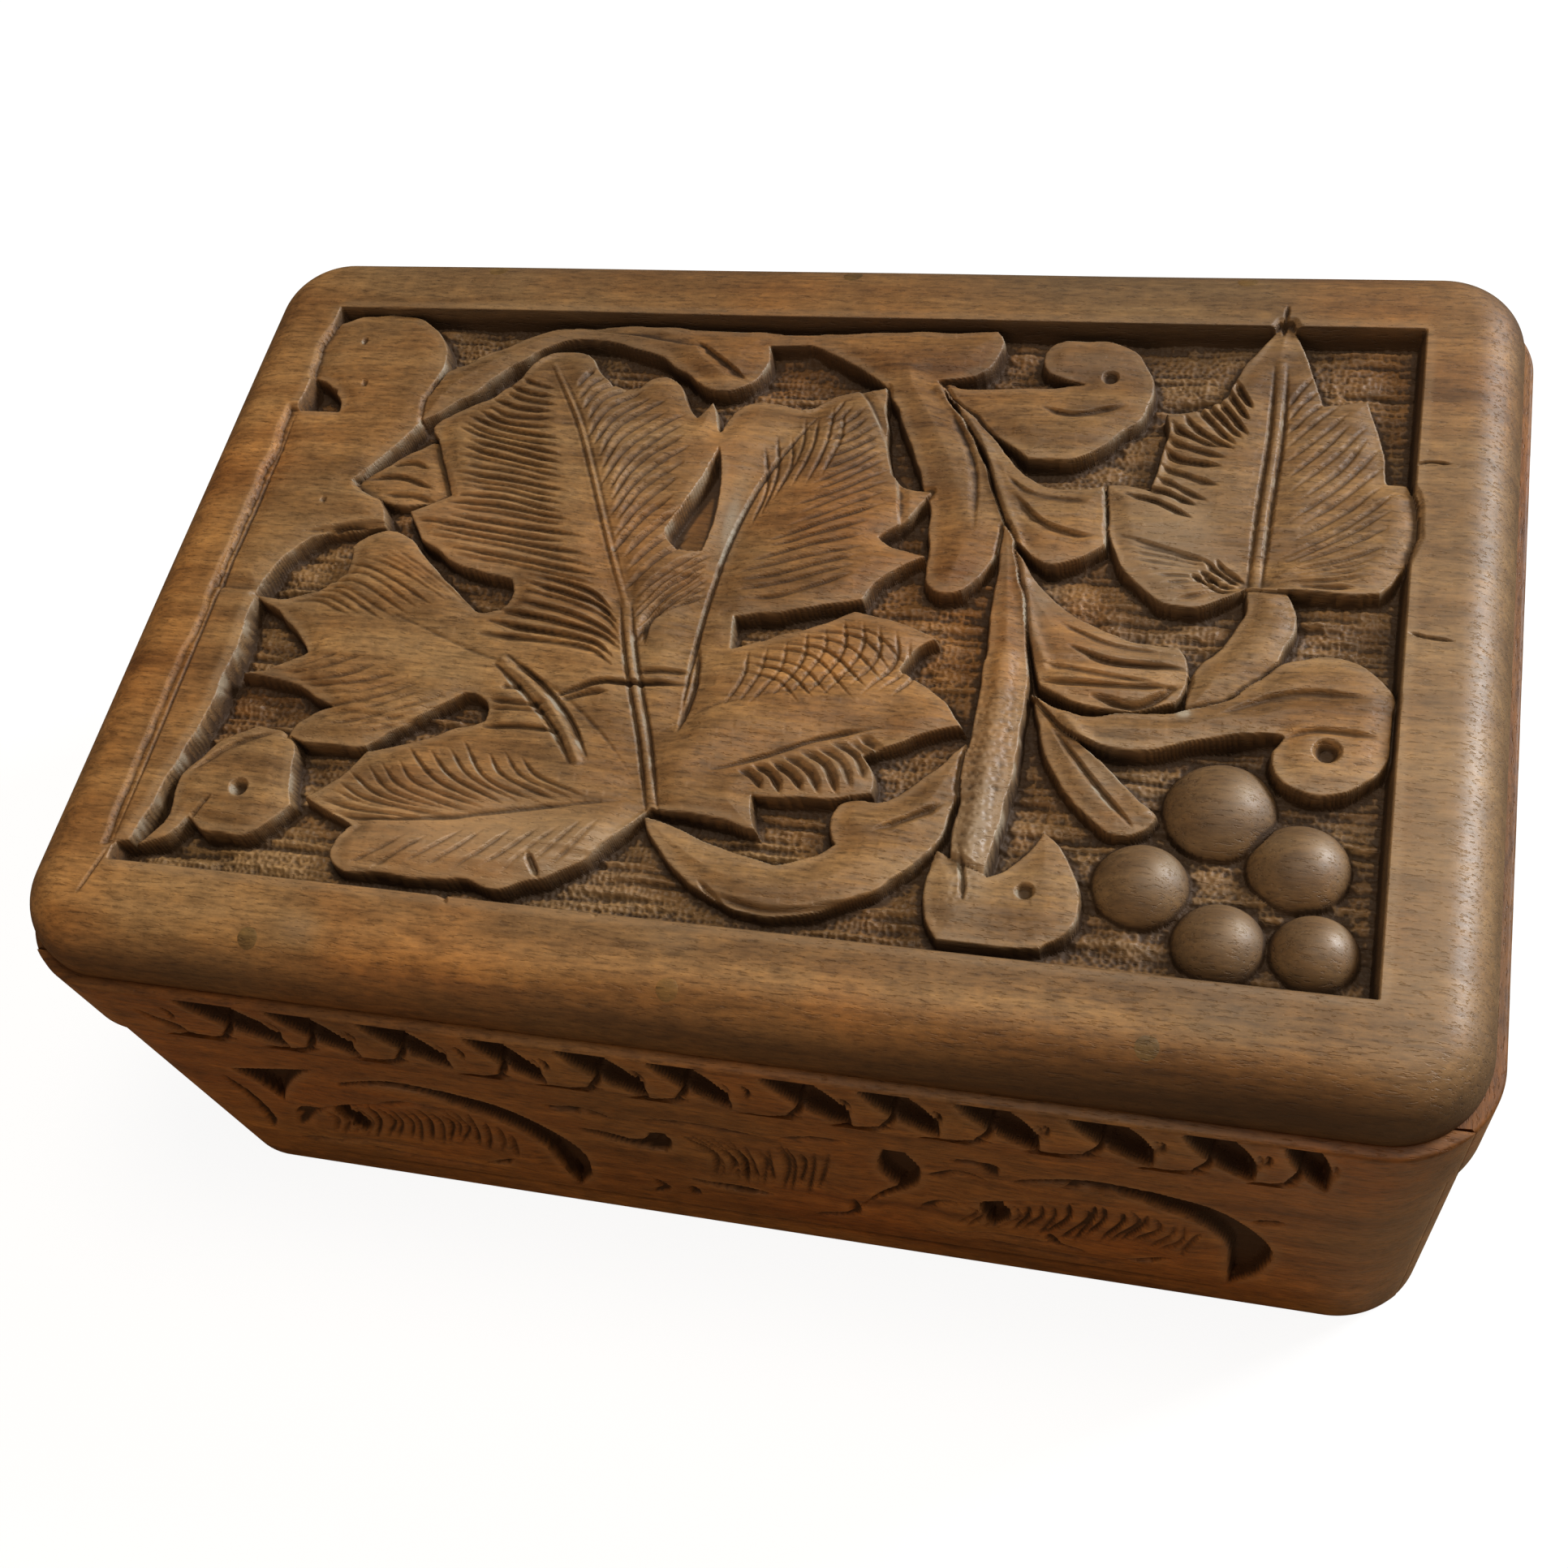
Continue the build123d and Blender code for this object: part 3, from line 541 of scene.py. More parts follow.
def board(name, side, half, corner, face, foot, edge, rebate=None):
    """Mesh of a carved board. Its ring runs up the outer face from the foot to the edge where lid and base
    meet, over that edge, down the inner face and, for the base, round the rebate of the bottom board."""
    long = side in long_sides
    straight = (half[0] if long else half[1]) - corner
    bend = np.sign(face.u) * np.clip(np.abs(face.u) - straight, 0, None) / corner
    across = np.clip(face.u, -straight, straight) + corner * np.sin(bend)
    inwards = corner * (1 - np.cos(bend))
    thickness = np.full(len(face.u), wall_thickness)
    if long:
        thickness[np.abs(across) > half[0] - wall_thickness] = corner_rebate
    spare = thickness - inwards
    way = 1 if edge > foot else -1
    rounding = np.minimum(arris, spare * 0.3)
    hinged = np.zeros(len(face.u), bool)
    if side == "back":
        hinged = np.abs(np.abs(across) - hinge_middle) < hinge_half

    def points(depth, level):
        """Points a depth behind the outer face, at a level."""
        depth = depth + np.zeros(len(face.u))
        return np.stack([across - np.sin(bend) * depth, inwards + np.cos(bend) * depth,
                         level + np.zeros(len(face.u))], 1)

    def inner(depth, level):
        """Points at a depth from the plane of the outer face, at a level."""
        depth = depth + np.zeros(len(face.u))
        return np.stack([across, depth, level + np.zeros(len(face.u))], 1)

    # Foot and outer face, which ends under the knuckles where there is a hinge
    ring = []
    for angle in np.radians((0, 30, 60)):
        ring.append(points(rounding * (1 - np.sin(angle)), foot + way * rounding * (1 - np.cos(angle))))
    foot_rows = len(ring)
    levels = face.v if way > 0 else face.v[::-1]
    heights = face.height if way > 0 else face.height[::-1]
    barrel = knuckle_radius + barrel_clearance
    setout = hinge_axis[0] - half[1]
    under_barrel = hinge_axis[1] - way * math.sqrt(barrel**2 - setout**2)
    last = levels[-1]
    eased_over = 5.0
    for level, height in zip(levels, heights):
        near_edge = np.clip((way * (level - last) + eased_over) / eased_over, 0, 1)
        lowered = level - near_edge * (last - under_barrel + way * 0.05)
        ring.append(points(-height, np.where(hinged, lowered, level)))

    # Edge, with a trough for the knuckles and a bed for the leaf
    bed = edge - way * leaf_thickness
    start = math.asin(setout / barrel)
    finish = math.acos(abs(hinge_axis[1] - bed) / barrel)
    for share in (0, 1 / 3, 2 / 3, 1):
        turn = start + share * (finish - start)
        plain = points(rounding * (1 - np.cos(share * math.pi / 2)),
                       edge - way * rounding * (1 - np.sin(share * math.pi / 2)))
        cut = inner(barrel * math.sin(turn) - setout, hinge_axis[1] - way * barrel * math.cos(turn))
        ring.append(np.where(hinged[:, None], cut, plain))
    bed_end = half[1] - hinge_low[1]
    for offset, level in ((0, bed), (0.04, edge)):
        plain = inner(inwards + spare * (0.55 + offset), edge)
        ring.append(np.where(hinged[:, None], inner(bed_end + offset, level), plain))

    # Inner face, from its rubbed arris down to the foot or the rebate
    soft = np.minimum(0.5, spare * 0.2)
    ring.append(inner(thickness - soft, edge))
    ring.append(inner(thickness - 0.3 * soft, edge - way * 0.3 * soft))
    ring.append(inner(thickness, edge - way * soft))
    if rebate is None:
        ring.append(inner(thickness, foot))
    else:
        depth, level = rebate
        full = thickness == wall_thickness
        rebated = np.where(full, wall_thickness - depth, thickness - 0.01)
        ring += [inner(thickness, level), inner(rebated, level), inner(rebated, foot)]
    ring = np.stack(ring, 1)
    columns, size = ring.shape[:2]
    marks = {}
    for mark, values in face.marks.items():
        marks[mark] = np.zeros((columns, size))
        marks[mark][:, foot_rows:foot_rows + len(levels)] = (values if way > 0 else values[::-1]).T
    # Painted shade along the foot rows: at the floor for the base walls and under the lid board for the rails
    marks["hollow"][:, :foot_rows] = foot_shade
    caps = [np.arange(size), np.arange(size)[::-1] + (columns - 1) * size]
    placed = on_side(side, half, ring).reshape(-1, 3)
    return make_mesh(name, placed, grid_quads(columns, size, around=True), caps, marks)


def place_board(node, side, half, corner, face, foot, edge, rebate=None):
    """Marks a carved face with dirt, wear, painted shade and, on the front, painted light, and puts its board
    in the place of a CAD node.
    """
    face.age(front_patches if side == "front" else (), shallow=0.15, deep=0.9, share=0.9)
    made = board(node + "_carved", side, half, corner, face, foot, edge, rebate)
    material = shaded_walnut_along_x if side in long_sides else shaded_walnut_along_y
    dress(made, node.split("_")[0], "walnut", material, node)


# Outlines of the band's cuts, from a motif's middle, with heights above the band's foot
arch_cut = [
    [(-12, 32.6), (-3, 36), (6, 35)],
    [(14, 31.5), (20, 23.5), (22.5, 15), (21, 5)],
    [(17, -1.5)],
    [(16.6, 8), (16, 17), (12, 25), (4.5, 31)],
    [(-5, 33.2), (-13, 31)],
]
slit_cut = [[(-15.5, 22)], [(-14.5, 15), (-17.5, 9.5)], [(-18.5, 15), (-18.5, 20.5)]]
eye_cut = [[(8.5, 8.5)], [(6, 3.5)], [(1.5, 3)]]
hook_cut = [
    [(-25, 25), (-15, 22)],
    [(-13, 28.5), (-13.5, 30.5)],
    [(-16, 30)],
    [(-18, 26.5), (-20, 26)],
    [(-24, 27.5), (-28, 27.5)],
]
flower_cut = [
    [(20, 37)],
    [(23, 37)],
    [(24.6, 31), (23.6, 24), (20, 19), (15, 14)],
    [(14, 12), (13.5, 9.5)],
    [(15.5, 15), (20.5, 22.5)],
    [(18.6, 27.5), (19, 33)],
]
foot_cut = [[(-14, 11)], [(-6, 8), (0, 9)], [(-6, 11.5), (-13, 12)]]
wedge_cut = [[(-79, 32)], [(-63, 36.4)], [(-69, 30), (-75, 20)], [(-76.5, 27)]]


cut_wall = 0.9


def moved_to(middle, points):
    """Points of a motif as places of the band."""
    return np.array(points, float) + (middle, band_low)


def carve_leaf(face, middle):
    """Broad leaf with veins under an arched stalk."""
    face.swell(moved_to(middle, [(-24, 6), (-20, 20), (-8, 28), (6, 25), (11, 8)]), 0.5, 3.5)
    for cut in (arch_cut, slit_cut, eye_cut):
        face.sink(moved_to(middle, outline(cut)), band_depth, cut_wall)
    veins = (
        [(-21, 21), (-20, 15), (-23, 9)], [(-13, 24), (-13, 16), (-17, 8)], [(-6, 27), (-6, 18), (-10, 8)],
        [(0, 29), (0, 20), (-4, 8)], [(6, 28), (6, 20), (2, 11)], [(12, 22), (11, 16), (9, 9)])
    creases = (
        [(-21, 20), (-13, 24), (-3, 27.5)], [(-30, 2), (-18, 6), (-6, 5)], [(-20, 3), (-10, 1), (4, 1)],
        [(-28, 14), (-25, 18), (-21, 20)])
    veins = [moved_to(middle, stroke) for stroke in veins]
    face.fan(veins, 18, 0.7, 0.45, 0.9, wander=0.7)
    face.cuts([moved_to(middle, stroke) for stroke in creases], 1.1, 0.6, 1.6)


def carve_flower(face, middle):
    """Half open flower beside a hooked stalk."""
    face.swell(moved_to(middle, [(-10, 14), (-4, 26), (8, 32), (14, 24), (12, 10)]), 0.4, 4)
    for cut in (hook_cut, flower_cut, foot_cut):
        face.sink(moved_to(middle, outline(cut)), band_depth, cut_wall)
    petals = (
        [(-11, 32), (-7, 24), (-9, 14)], [(-6, 34), (-3, 24), (-5, 12)], [(0, 35), (0, 24), (-2, 12)],
        [(6, 35), (5, 24), (2, 12)], [(12, 34), (10, 24), (7, 12)])
    creases = (
        [(-16, 35), (-8, 36), (2, 35)], [(5, 35.6), (9, 37), (15, 38)], [(-20, 8), (-19, 4), (-22, 1)],
        [(-14, 7), (-14, 3)], [(30, 35.6), (35, 36.4), (35.5, 32.5)], [(25, 28), (30, 32), (34, 30)],
        [(-31, 34), (-25, 36), (-20, 33)], [(13, 14), (12, 6), (5, 2)])
    petals = [moved_to(middle, stroke) for stroke in petals]
    face.fan(petals, 14, 0.7, 0.45, 0.9, wander=0.7)
    face.cuts([moved_to(middle, stroke) for stroke in creases], 1.1, 0.7, 1.5)


# Motifs of each side with their middles, and how far the line at the band's foot reaches
long_band = ((carve_leaf, -47.5), (carve_flower, 5), (carve_leaf, 56))
short_band = ((carve_leaf, -28), (carve_leaf, 25))
bands = {
    "front": (long_band, 88), "back": (long_band, 88), "left": (short_band, 58), "right": (short_band, 58)}

# Orange and grey patches of the front, and small strokes between its motifs. The grey patch on the right
# corner is painted light, where the corner turns towards the window.
front_patches = (
    (-95, 35, 18, 40, 0.7), (-40, 22, 26, 14, 0.35), (20, 12, 70, 14, 0.5), (98, 30, 12, 50, -0.6))
front_strokes = (
    [(-82, 38), (-81, 29), (-82, 20), (-84, 15)], [(-68, 30), (-72, 26), (-77, 19)],
    [(-80, 12), (-73, 14), (-66, 16.5)], [(49.5, 42), (53, 43.6), (57, 42)],
    [(34, 46), (38, 46.6), (40.5, 43)], [(75, 38.6), (77, 39.6), (79, 40)],
    [(-55, 37), (-50, 38.5), (-44, 38)], [(-26, 45.5), (-22, 44.6), (-20, 45)],
    [(47, 20), (48, 16), (52, 14)])
# Painted warm shade: the boards of the base and the lid's rails, and the bottom board, take copies of the
# walnut tinted darker and more orange than the lid's top
wall_shade_tint = (0.98, 0.80, 0.58)
shaded_walnut_along_x = walnut_material("shaded_walnut_along_x", tint=wall_shade_tint)
shaded_walnut_along_y = walnut_material("shaded_walnut_along_y", turn=math.pi / 2, tint=wall_shade_tint, start=(31, 7, 0))
side_coarseness = {"front": 1.0, "back": 1.5, "left": 1.5, "right": 1.5}
for side, (motifs, end) in bands.items():
    coarseness = side_coarseness[side]
    levels = np.concatenate([np.linspace(arris, band_low - 1, 12)[:-1],
                             np.arange(band_low - 1, band_high, row_step * coarseness),
                             np.linspace(band_high + 0.4, base_edge - arris, 9)])
    columns = board_columns(side, base_half, base_corner, column_step * coarseness)
    face = CarvedFace(columns, levels, band_depth)
    for carve, middle in motifs:
        carve(face, middle)
    foot_line = [(-end, -3), (-end / 2, -3.4), (end / 2, -3.1), (end, -3)]
    face.cut(moved_to(0, foot_line), 0.5, 0.5)
    if side == "front":
        face.sink(moved_to(0, outline(wedge_cut)), band_depth, cut_wall)
        face.cuts(front_strokes, 1.2, 0.8, 1.4)
    place_board(f"base_{side}_wall", side, base_half, base_corner, face, 0.0, base_edge,
                (base_half[0] - bottom_high[0], bottom_high[2]))


# Bottom board and its nails
# One thin board let into a rebate under the walls and nailed up into them with square cut nails.
steel, steel_tree, steel_surface = new_material("cut_steel")
rust = add(steel_tree, "ShaderNodeTexNoise", {"Scale": 900.0, "Detail": 4.0}).outputs["Fac"]
rusty = ramp(steel_tree, rust, [(0.42, (0.36, 0.35, 0.33)), (0.62, (0.16, 0.09, 0.05))])
give(steel_tree, steel_surface, {"Base Color": rusty, "Metallic": 1.0, "Roughness": 0.45})
coat(nodes["base_bottom_board"], shaded_walnut_along_x)
coat(nodes["base_bottom_nails"], steel)


# Lining
# Cards covered in short pile velvet: a flat one and four upright ones in the base, and five in the lid.
def velvet_material():
    """Deep red velvet: dark from the front and lighter at a slant, with a pile that lies in patches."""
    material, tree, surface = new_material("red_velvet")
    coordinates = add(tree, "ShaderNodeTexCoord").outputs["Object"]
    pile = add(tree, "ShaderNodeTexNoise", {"Vector": coordinates, "Scale": 60.0, "Detail": 3.0})
    fibres = add(tree, "ShaderNodeTexNoise", {"Vector": coordinates, "Scale": 2600.0, "Detail": 2.0})
    colour = ramp(tree, pile.outputs["Fac"], [(0.38, (0.105, 0.008, 0.014)), (0.62, (0.19, 0.018, 0.028))])
    bump = add(tree, "ShaderNodeBump", {"Height": fibres.outputs["Fac"], "Distance": 0.0003})
    give(tree, surface, {"Base Color": colour, "Normal": bump.outputs["Normal"], "Roughness": 0.95,
                         "Sheen Weight": 0.45, "Sheen Roughness": 0.35, "Sheen Tint": (0.85, 0.25, 0.28, 1)})
    return material


velvet = velvet_material()
card_round = 0.0006
for name, node in nodes.items():
    if name.endswith("_lining"):
        coat(node, velvet)
        edge = node.modifiers.new("soft_edge", "BEVEL")
        edge.width, edge.segments, edge.limit_method = card_round, 3, "ANGLE"


# Hinges
# Two small butt hinges of aged brass: a leaf let into the back wall's edge, one into the lid's, and a pin
# through their knuckles, fixed with slotted brass screws.
def brass_material():
    """Aged brass: dull and brown where it has tarnished, with fine rolling lines along the leaf."""
    material, tree, surface = new_material("aged_brass")
    coordinates = add(tree, "ShaderNodeTexCoord").outputs["Object"]
    long = add(tree, "ShaderNodeMapping", {"Vector": coordinates, "Scale": (60.0, 1500.0, 1500.0)})
    tarnish = add(tree, "ShaderNodeTexNoise", {"Vector": coordinates, "Scale": 300.0, "Detail": 5.0})
    lines = add(tree, "ShaderNodeTexNoise", {"Vector": long.outputs["Vector"], "Scale": 1.0, "Detail": 2.0})
    colour = ramp(tree, tarnish.outputs["Fac"], [(0.36, (0.21, 0.125, 0.048)), (0.60, (0.56, 0.38, 0.15))])
    bump = add(tree, "ShaderNodeBump", {"Height": lines.outputs["Fac"], "Distance": 0.00003})
    rough = grey_ramp(tree, tarnish.outputs["Fac"], 0.9, -0.1)
    give(tree, surface, {"Base Color": colour, "Normal": bump.outputs["Normal"], "Roughness": rough,
                         "Metallic": 1.0})
    return material


brass = brass_material()
for name, node in nodes.items():
    if name.endswith("_pin"):
        coat(node, steel)
    elif name.endswith("_leaf"):
        coat(node, brass)


# Lid rails
# Four boards under the lid board, rebated like the walls, with a rope cut round their outer faces: claw
# shaped pockets leave leaning pads between them.
rail_low, rail_high = node_box("lid_front_rail")
lid_half = np.array([node_box("lid_right_rail")[1][0], -rail_low[1]])
lid_corner = base_corner + lid_half[0] - base_half[0]
lid_edge, rail_top = rail_low[2], rail_high[2]
claw = [
    [(3, 0.8), (6.4, 0.2)],
    [(8.8, -5.5), (9, -12.8)],
    [(6.2, -10.6), (3.6, -7.6)],
    [(1.6, -4.4), (0, 0)],
]
claw_depth = 2.8
claw_pitch = 13.2
claw_width = 8.9
rope_reach = {"back": 83, "left": 50, "right": 50}
front_claws = [(-74.5, -61.5), (-60, -50), (-46, -35.5), (-30, -21.5), (-17, -6.5), (-4, 5.5), (11.5, 22),
               (24.5, 34), (37, 47), (51, 61.5), (65, 74), (77, 83)]
claw_strokes = (
    ([(4.2, -5), (3.4, -8.5), (1.6, -12)], 1.3, 0.9, 0.6),
    ([(-5, -13.4), (-1, -13.6), (3.5, -11.6)], 1.0, 1.2, 0.6),
    ([(-2.4, -3), (-2, -5), (-2.4, -7.4)], 0.7, 0.5, 0.5),
    ([(9.2, -3), (9.6, -6), (9, -9)], 0.5, 0.5, 0.9),
)
rope_end_strokes = ([(-83, 64), (-80.5, 60.5), (-77.5, 57), (-72, 56.6)], [(-82, 62), (-79, 60), (-78, 58)])


def claw_places(side):
    """Where each claw of a side starts and ends: as read on the front, and evenly spread elsewhere."""
    if side == "front":
        return front_claws
    starts = np.arange(4 - rope_reach[side], rope_reach[side] - 12, claw_pitch)
    starts += chance.uniform(-0.6, 0.6, len(starts))
    return [(start, start + claw_width * chance.uniform(0.95, 1.2)) for start in starts]


for side in bands:
    step = row_step * side_coarseness[side]
    levels = np.arange(lid_edge + arris, rail_top - arris, step)
    face = CarvedFace(board_columns(side, lid_half, lid_corner, step), levels, claw_depth)
    for start, end in claw_places(side):
        size = ((end - start) / claw_width, chance.uniform(0.98, 1.04))
        tip = (start, rail_top - chance.uniform(0.5, 0.9))
        face.sink(outline(claw) * size + tip, claw_depth, 1.0)
        for stroke, depth, left, right in claw_strokes:
            face.cut(np.array(stroke) * size + tip, depth, left, right)
    if side == "front":
        face.cuts(rope_end_strokes, 1.2, 0.8, 1.4)
    place_board(f"lid_{side}_rail", side, lid_half, lid_corner, face, rail_top, lid_edge)


# Lid board
# One thick board with a rounded-over edge. Its sunk panel keeps a vine with leaves, scrolls and grapes
# in relief: the ground was cut away and punched, then each form rounded over and veined with a V tool.
board_low, board_high = node_box("lid_top_board")
board_half = board_high[:2]
lid_top = board_high[2]
board_corner = 12.25
roundover = 8.0
flat_half = board_half - roundover
panel_half = np.array([85.5, 53.0])
panel_sink = 4.0
punch_pitch = 0.8
punch_depth = 0.24
tiles = (3, 3)
tile_cells = (320, 208)

# Outlines of the relief, from the panel's middle
vine_leaf = [
    [(-11.5, -39), (-14.5, -43), (-17, -45.5), (-21, -48)], [(-28, -50.2), (-36, -49.8), (-50, -50.4)],
    [(-53, -46.5), (-51, -43)], [(-56, -41.2), (-60, -39.5)], [(-56, -36), (-53, -31)],
    [(-46, -28.6), (-37, -24)], [(-38.5, -20.3), (-41.5, -19.8)], [(-47, -24.5), (-53.5, -30.2)],
    [(-60, -30.6), (-66, -29.5)], [(-64, -26), (-61, -24)], [(-69, -20.6), (-78, -19.5)],
    [(-72, -17.8), (-68, -15)], [(-73, -10), (-80, -5.5)], [(-72, -4.5), (-67, -0.5)], [(-67, 3), (-68, 5)],
    [(-62, 8), (-57, 5.6)], [(-50.5, -0.2), (-44, -5.3)], [(-40, -4.5), (-39.8, 0.8)],
    [(-50, 3.2), (-56.5, 7.5)], [(-60, 12)], [(-54, 15.5)], [(-60, 26.5)],
    [(-61.5, 29), (-59.5, 31.5), (-54, 35.5), (-50, 40), (-47.5, 44.3)], [(-42.5, 46), (-38, 43)],
    [(-34.5, 39.8), (-30, 38)], [(-27, 41), (-23, 40), (-20, 34.5)], [(-18.8, 33)], [(-17, 36.5)],
    [(-14.5, 30.5)], [(-12.5, 34.8), (-9, 37)], [(-3, 35.5), (3, 38.8), (9.5, 40)],
    [(11, 31.5), (13, 23.5)], [(16, 21.5), (19.5, 20.5)], [(17.3, 15.8), (13.5, 12)],
    [(17, 9.8), (20.5, 9)], [(16, 6), (13, 1)], [(5, -1.6), (-5, -3)], [(-4, -9)],
    [(3, -6.2), (12.5, -1.2)], [(19, -2.4), (25, -5)], [(21.5, -7.5), (20.3, -10.5)],
    [(25.5, -13.8), (31, -19)], [(24, -21.6), (18, -24.5)], [(19.8, -27.2), (20.5, -30.5)],
    [(12.5, -32), (4.5, -32.5)], [(5, -35), (6.5, -38)], [(-1, -36.6), (-9, -36)],
]
leaf_fold = [
    [(-54, 15)], [(-60, 27)], [(-66, 23), (-71, 17)], [(-66, 14.2), (-60, 14)],
]
leaf_hole = [
    [(-15.5, 19.5), (-18.5, 11)], [(-17, 8.2), (-12, 7.5)], [(-11.5, 17), (-13.8, 27.5)],
]
leaf_stalk = [
    [(-4, -38.6), (2, -41), (8, -42), (13.5, -41.3), (17.2, -38.5)], [(15.8, -34.6), (18, -31.5)],
    [(22.5, -31), (27.5, -26.5), (32, -20)], [(32, -30)],
    [(30, -37), (25.5, -43), (18, -47.8), (9, -49.8), (0, -47), (-7, -41.5), (-10.5, -36.5)],
]
arch_vine = [
    [(-58, 35.5), (-51.5, 42.5), (-46, 47), (-40, 48.4), (-33, 47.2), (-26.5, 44.6), (-19.5, 39)],
    [(-15, 38.2), (-10.5, 42.5)], [(-10.3, 46), (-11, 48.5)], [(-3, 47.6), (3.5, 44.6), (9.8, 39.8)],
    [(14, 31.5), (17.5, 23.5), (20.5, 15), (21.5, 5)], [(23, 3.2), (27, 3.2)], [(29.6, 7), (31, 15)],
    [(28.5, 21.5), (24.5, 30), (16.5, 42)], [(22.5, 43)], [(25.5, 47), (24.5, 52)],
    [(10, 51.4), (-10, 50.8), (-28, 51.4), (-44, 51), (-54, 47), (-63, 40.5)], [(-64.5, 36), (-64, 30)],
]
vine_stem = [
    [(31.3, 6), (32, -8), (31.8, -26), (32.5, -46)], [(36.5, -46)],
    [(38.2, -30), (38.4, -14), (36, 0), (32.8, 12)], [(31, 15)],
]
bird_scroll = [
    [(22, 36), (27, 32), (32.5, 27.8)],
    [(38.5, 27.8), (44, 31.5), (47.8, 37), (48.8, 42), (47, 47), (42.5, 50.2), (36, 50.6)],
    [(31.8, 47.2), (34.2, 43.4)], [(38.5, 42.2)], [(24, 40.8)], [(17, 41.4)],
]
tongue_a = [
    [(22, 34.5), (26.5, 27.5), (29, 20), (33, 12.5)], [(36.5, 9.4), (40.5, 9), (45.5, 12.5)],
    [(45.2, 18), (44, 23.5)], [(37, 22.2), (30, 27.4)], [(17, 41.6)],
]
tongue_b = [
    [(37.5, 5), (43.5, 0), (50.5, -3), (57, -3.8)], [(59, -8), (57.5, -12.6)], [(50, -14.5), (40, -11.3)],
    [(35.5, 2), (33, 11.5)],
]
branch_scroll = [
    [(45, -15.8), (51.5, -15.2), (58, -14.5)],
    [(63, -12.5), (67, -9), (71, -5.5), (76, -3.8), (81, -5), (84.5, -9), (85, -15), (84, -21), (80, -24.4)],
    [(73.5, -24.3), (70.3, -19)], [(71.5, -17)],
    [(64.5, -17.2), (57, -20), (50, -20.3), (44.5, -18.4), (39, -13)],
]
small_leaf = [
    [(63, 49.5), (60, 43)], [(57.5, 39), (51, 36.8)], [(51.6, 31), (50, 23)], [(44.3, 23.4)],
    [(45.8, 14), (49.5, 7), (54.5, 3.1), (60, 3.2), (65, 6.8)], [(70, 6.8)], [(76, 6.2), (82, 6.8)],
    [(85, 11.5), (84.6, 25.4)], [(82.2, 25.8)], [(80.8, 33), (78.5, 40.4)], [(72.8, 39.5)],
    [(70.2, 46.5), (67, 54)], [(65.5, 54)],
]
small_stem = [
    [(65.2, 2), (62.6, -3.5), (59.3, -8), (59.5, -13.8)], [(66, -10.5), (71, -3.5), (72, 2.5), (70, 7.5)],
    [(65, 7.5)],
]
tongue_c = [
    [(47.5, -21), (57.3, -30)], [(55, -32.6), (51.5, -33)], [(44.5, -26), (39.3, -13)],
]
teardrop = [
    [(46.8, -37), (49.3, -42.5), (48.8, -47.5), (45.5, -50.8)], [(32.5, -50.8)], [(30, -46), (30.5, -38)],
    [(37.5, -41)], [(41.2, -38.2), (43.5, -33.5)],
]
corner_leaf = [
    [(-79.7, -45), (-80.3, -38), (-77, -32.5), (-71, -28.2)], [(-65.4, -30), (-63.3, -35), (-61, -41)],
    [(-66, -46), (-72.5, -46.8), (-76.5, -44.6)], [(-79, -48), (-83, -49.8)],
]
left_scroll = [
    [(-80, 52), (-72, 52.3), (-66.5, 48.6), (-63.5, 43), (-64, 36), (-64, 29.5)],
    [(-67, 24), (-71.5, 17.5)], [(-66.5, 15), (-63.5, 9.2)], [(-72, 7.6), (-77.5, 2.5), (-80, -4.5)],
    [(-87, -4.5)], [(-87, 31)], [(-79, 31.5)], [(-81, 35.5), (-85.5, 38)], [(-86.3, 44), (-84.5, 50)],
]
left_ledge = [
    [(-80, -4.5)], [(-79.2, -15), (-79.4, -26)], [(-83.5, -49.5)], [(-87, -50.5)], [(-87, -4.5)],
]


def form(face, loop, drop, fall, width, lean=9.0, rub=0.22):
    """Raises a form inside a loop. Its crown is a drop below the border and falls gently over the width
    to its edge, which is rubbed round. Outside, its wall leans, and a groove parts it from other forms."""
    part, x, y = face.near(loop, 1.2)
    inset = inset_of(loop, x, y) + shaky[part]
    away = 1 - np.clip(inset / (2 * rub), 0, 1)
    crown = -drop - fall * (1 - ease(inset / width)) - rub * (1 - np.sqrt(1 - away**2))
    old = face.height[part]
    edge = -drop - fall - rub
    wall = np.maximum(old, edge + inset * lean)
    groove = 0.6 * np.clip(1 + inset / 0.8, 0, 1) * (old > edge - 1.2)
    face.height[part] = np.where(inset > 0, crown, np.where(groove > 0, old - groove, wall))


grapes = ((78, -46.3, 5.5), (66.7, -46.3, 5.8), (56.4, -39.2, 6.2), (75.3, -34.6, 6.4), (65, -27.3, 7.2))


def highlight_patch_of(x, y, radius, strength):
    """Patch of a grape's painted highlight, where the window would glint: towards the right and the back of
    its crown. It is made glossier there as well.
    """
    return x + 0.42 * radius, y + 0.22 * radius, 0.30 * radius, 0.42 * radius, strength


def grape(face, x, y, radius):
    """Round grape on the ground. Its height is a power of what is left of 1 less the square of the share
    of its radius, which leaves its crown fuller than a cone's and more pointed than a ball's."""
    part, u, v = face.near(np.array([[x, y]]), radius + 0.5)
    away = np.hypot(u - x, v - y) / radius
    dome = -panel_sink + (panel_sink - 0.1) * np.clip(1 - away**2, 0, 1) ** 0.72
    face.height[part] = np.where(away < 1, dome, face.height[part])
    # Painted darker all over the grape, except in its painted highlight
    face.darkening[part] += 0.42 * (away < 1) * (1 - patches_at(u, v, [highlight_patch_of(x, y, radius, 0.7)]))


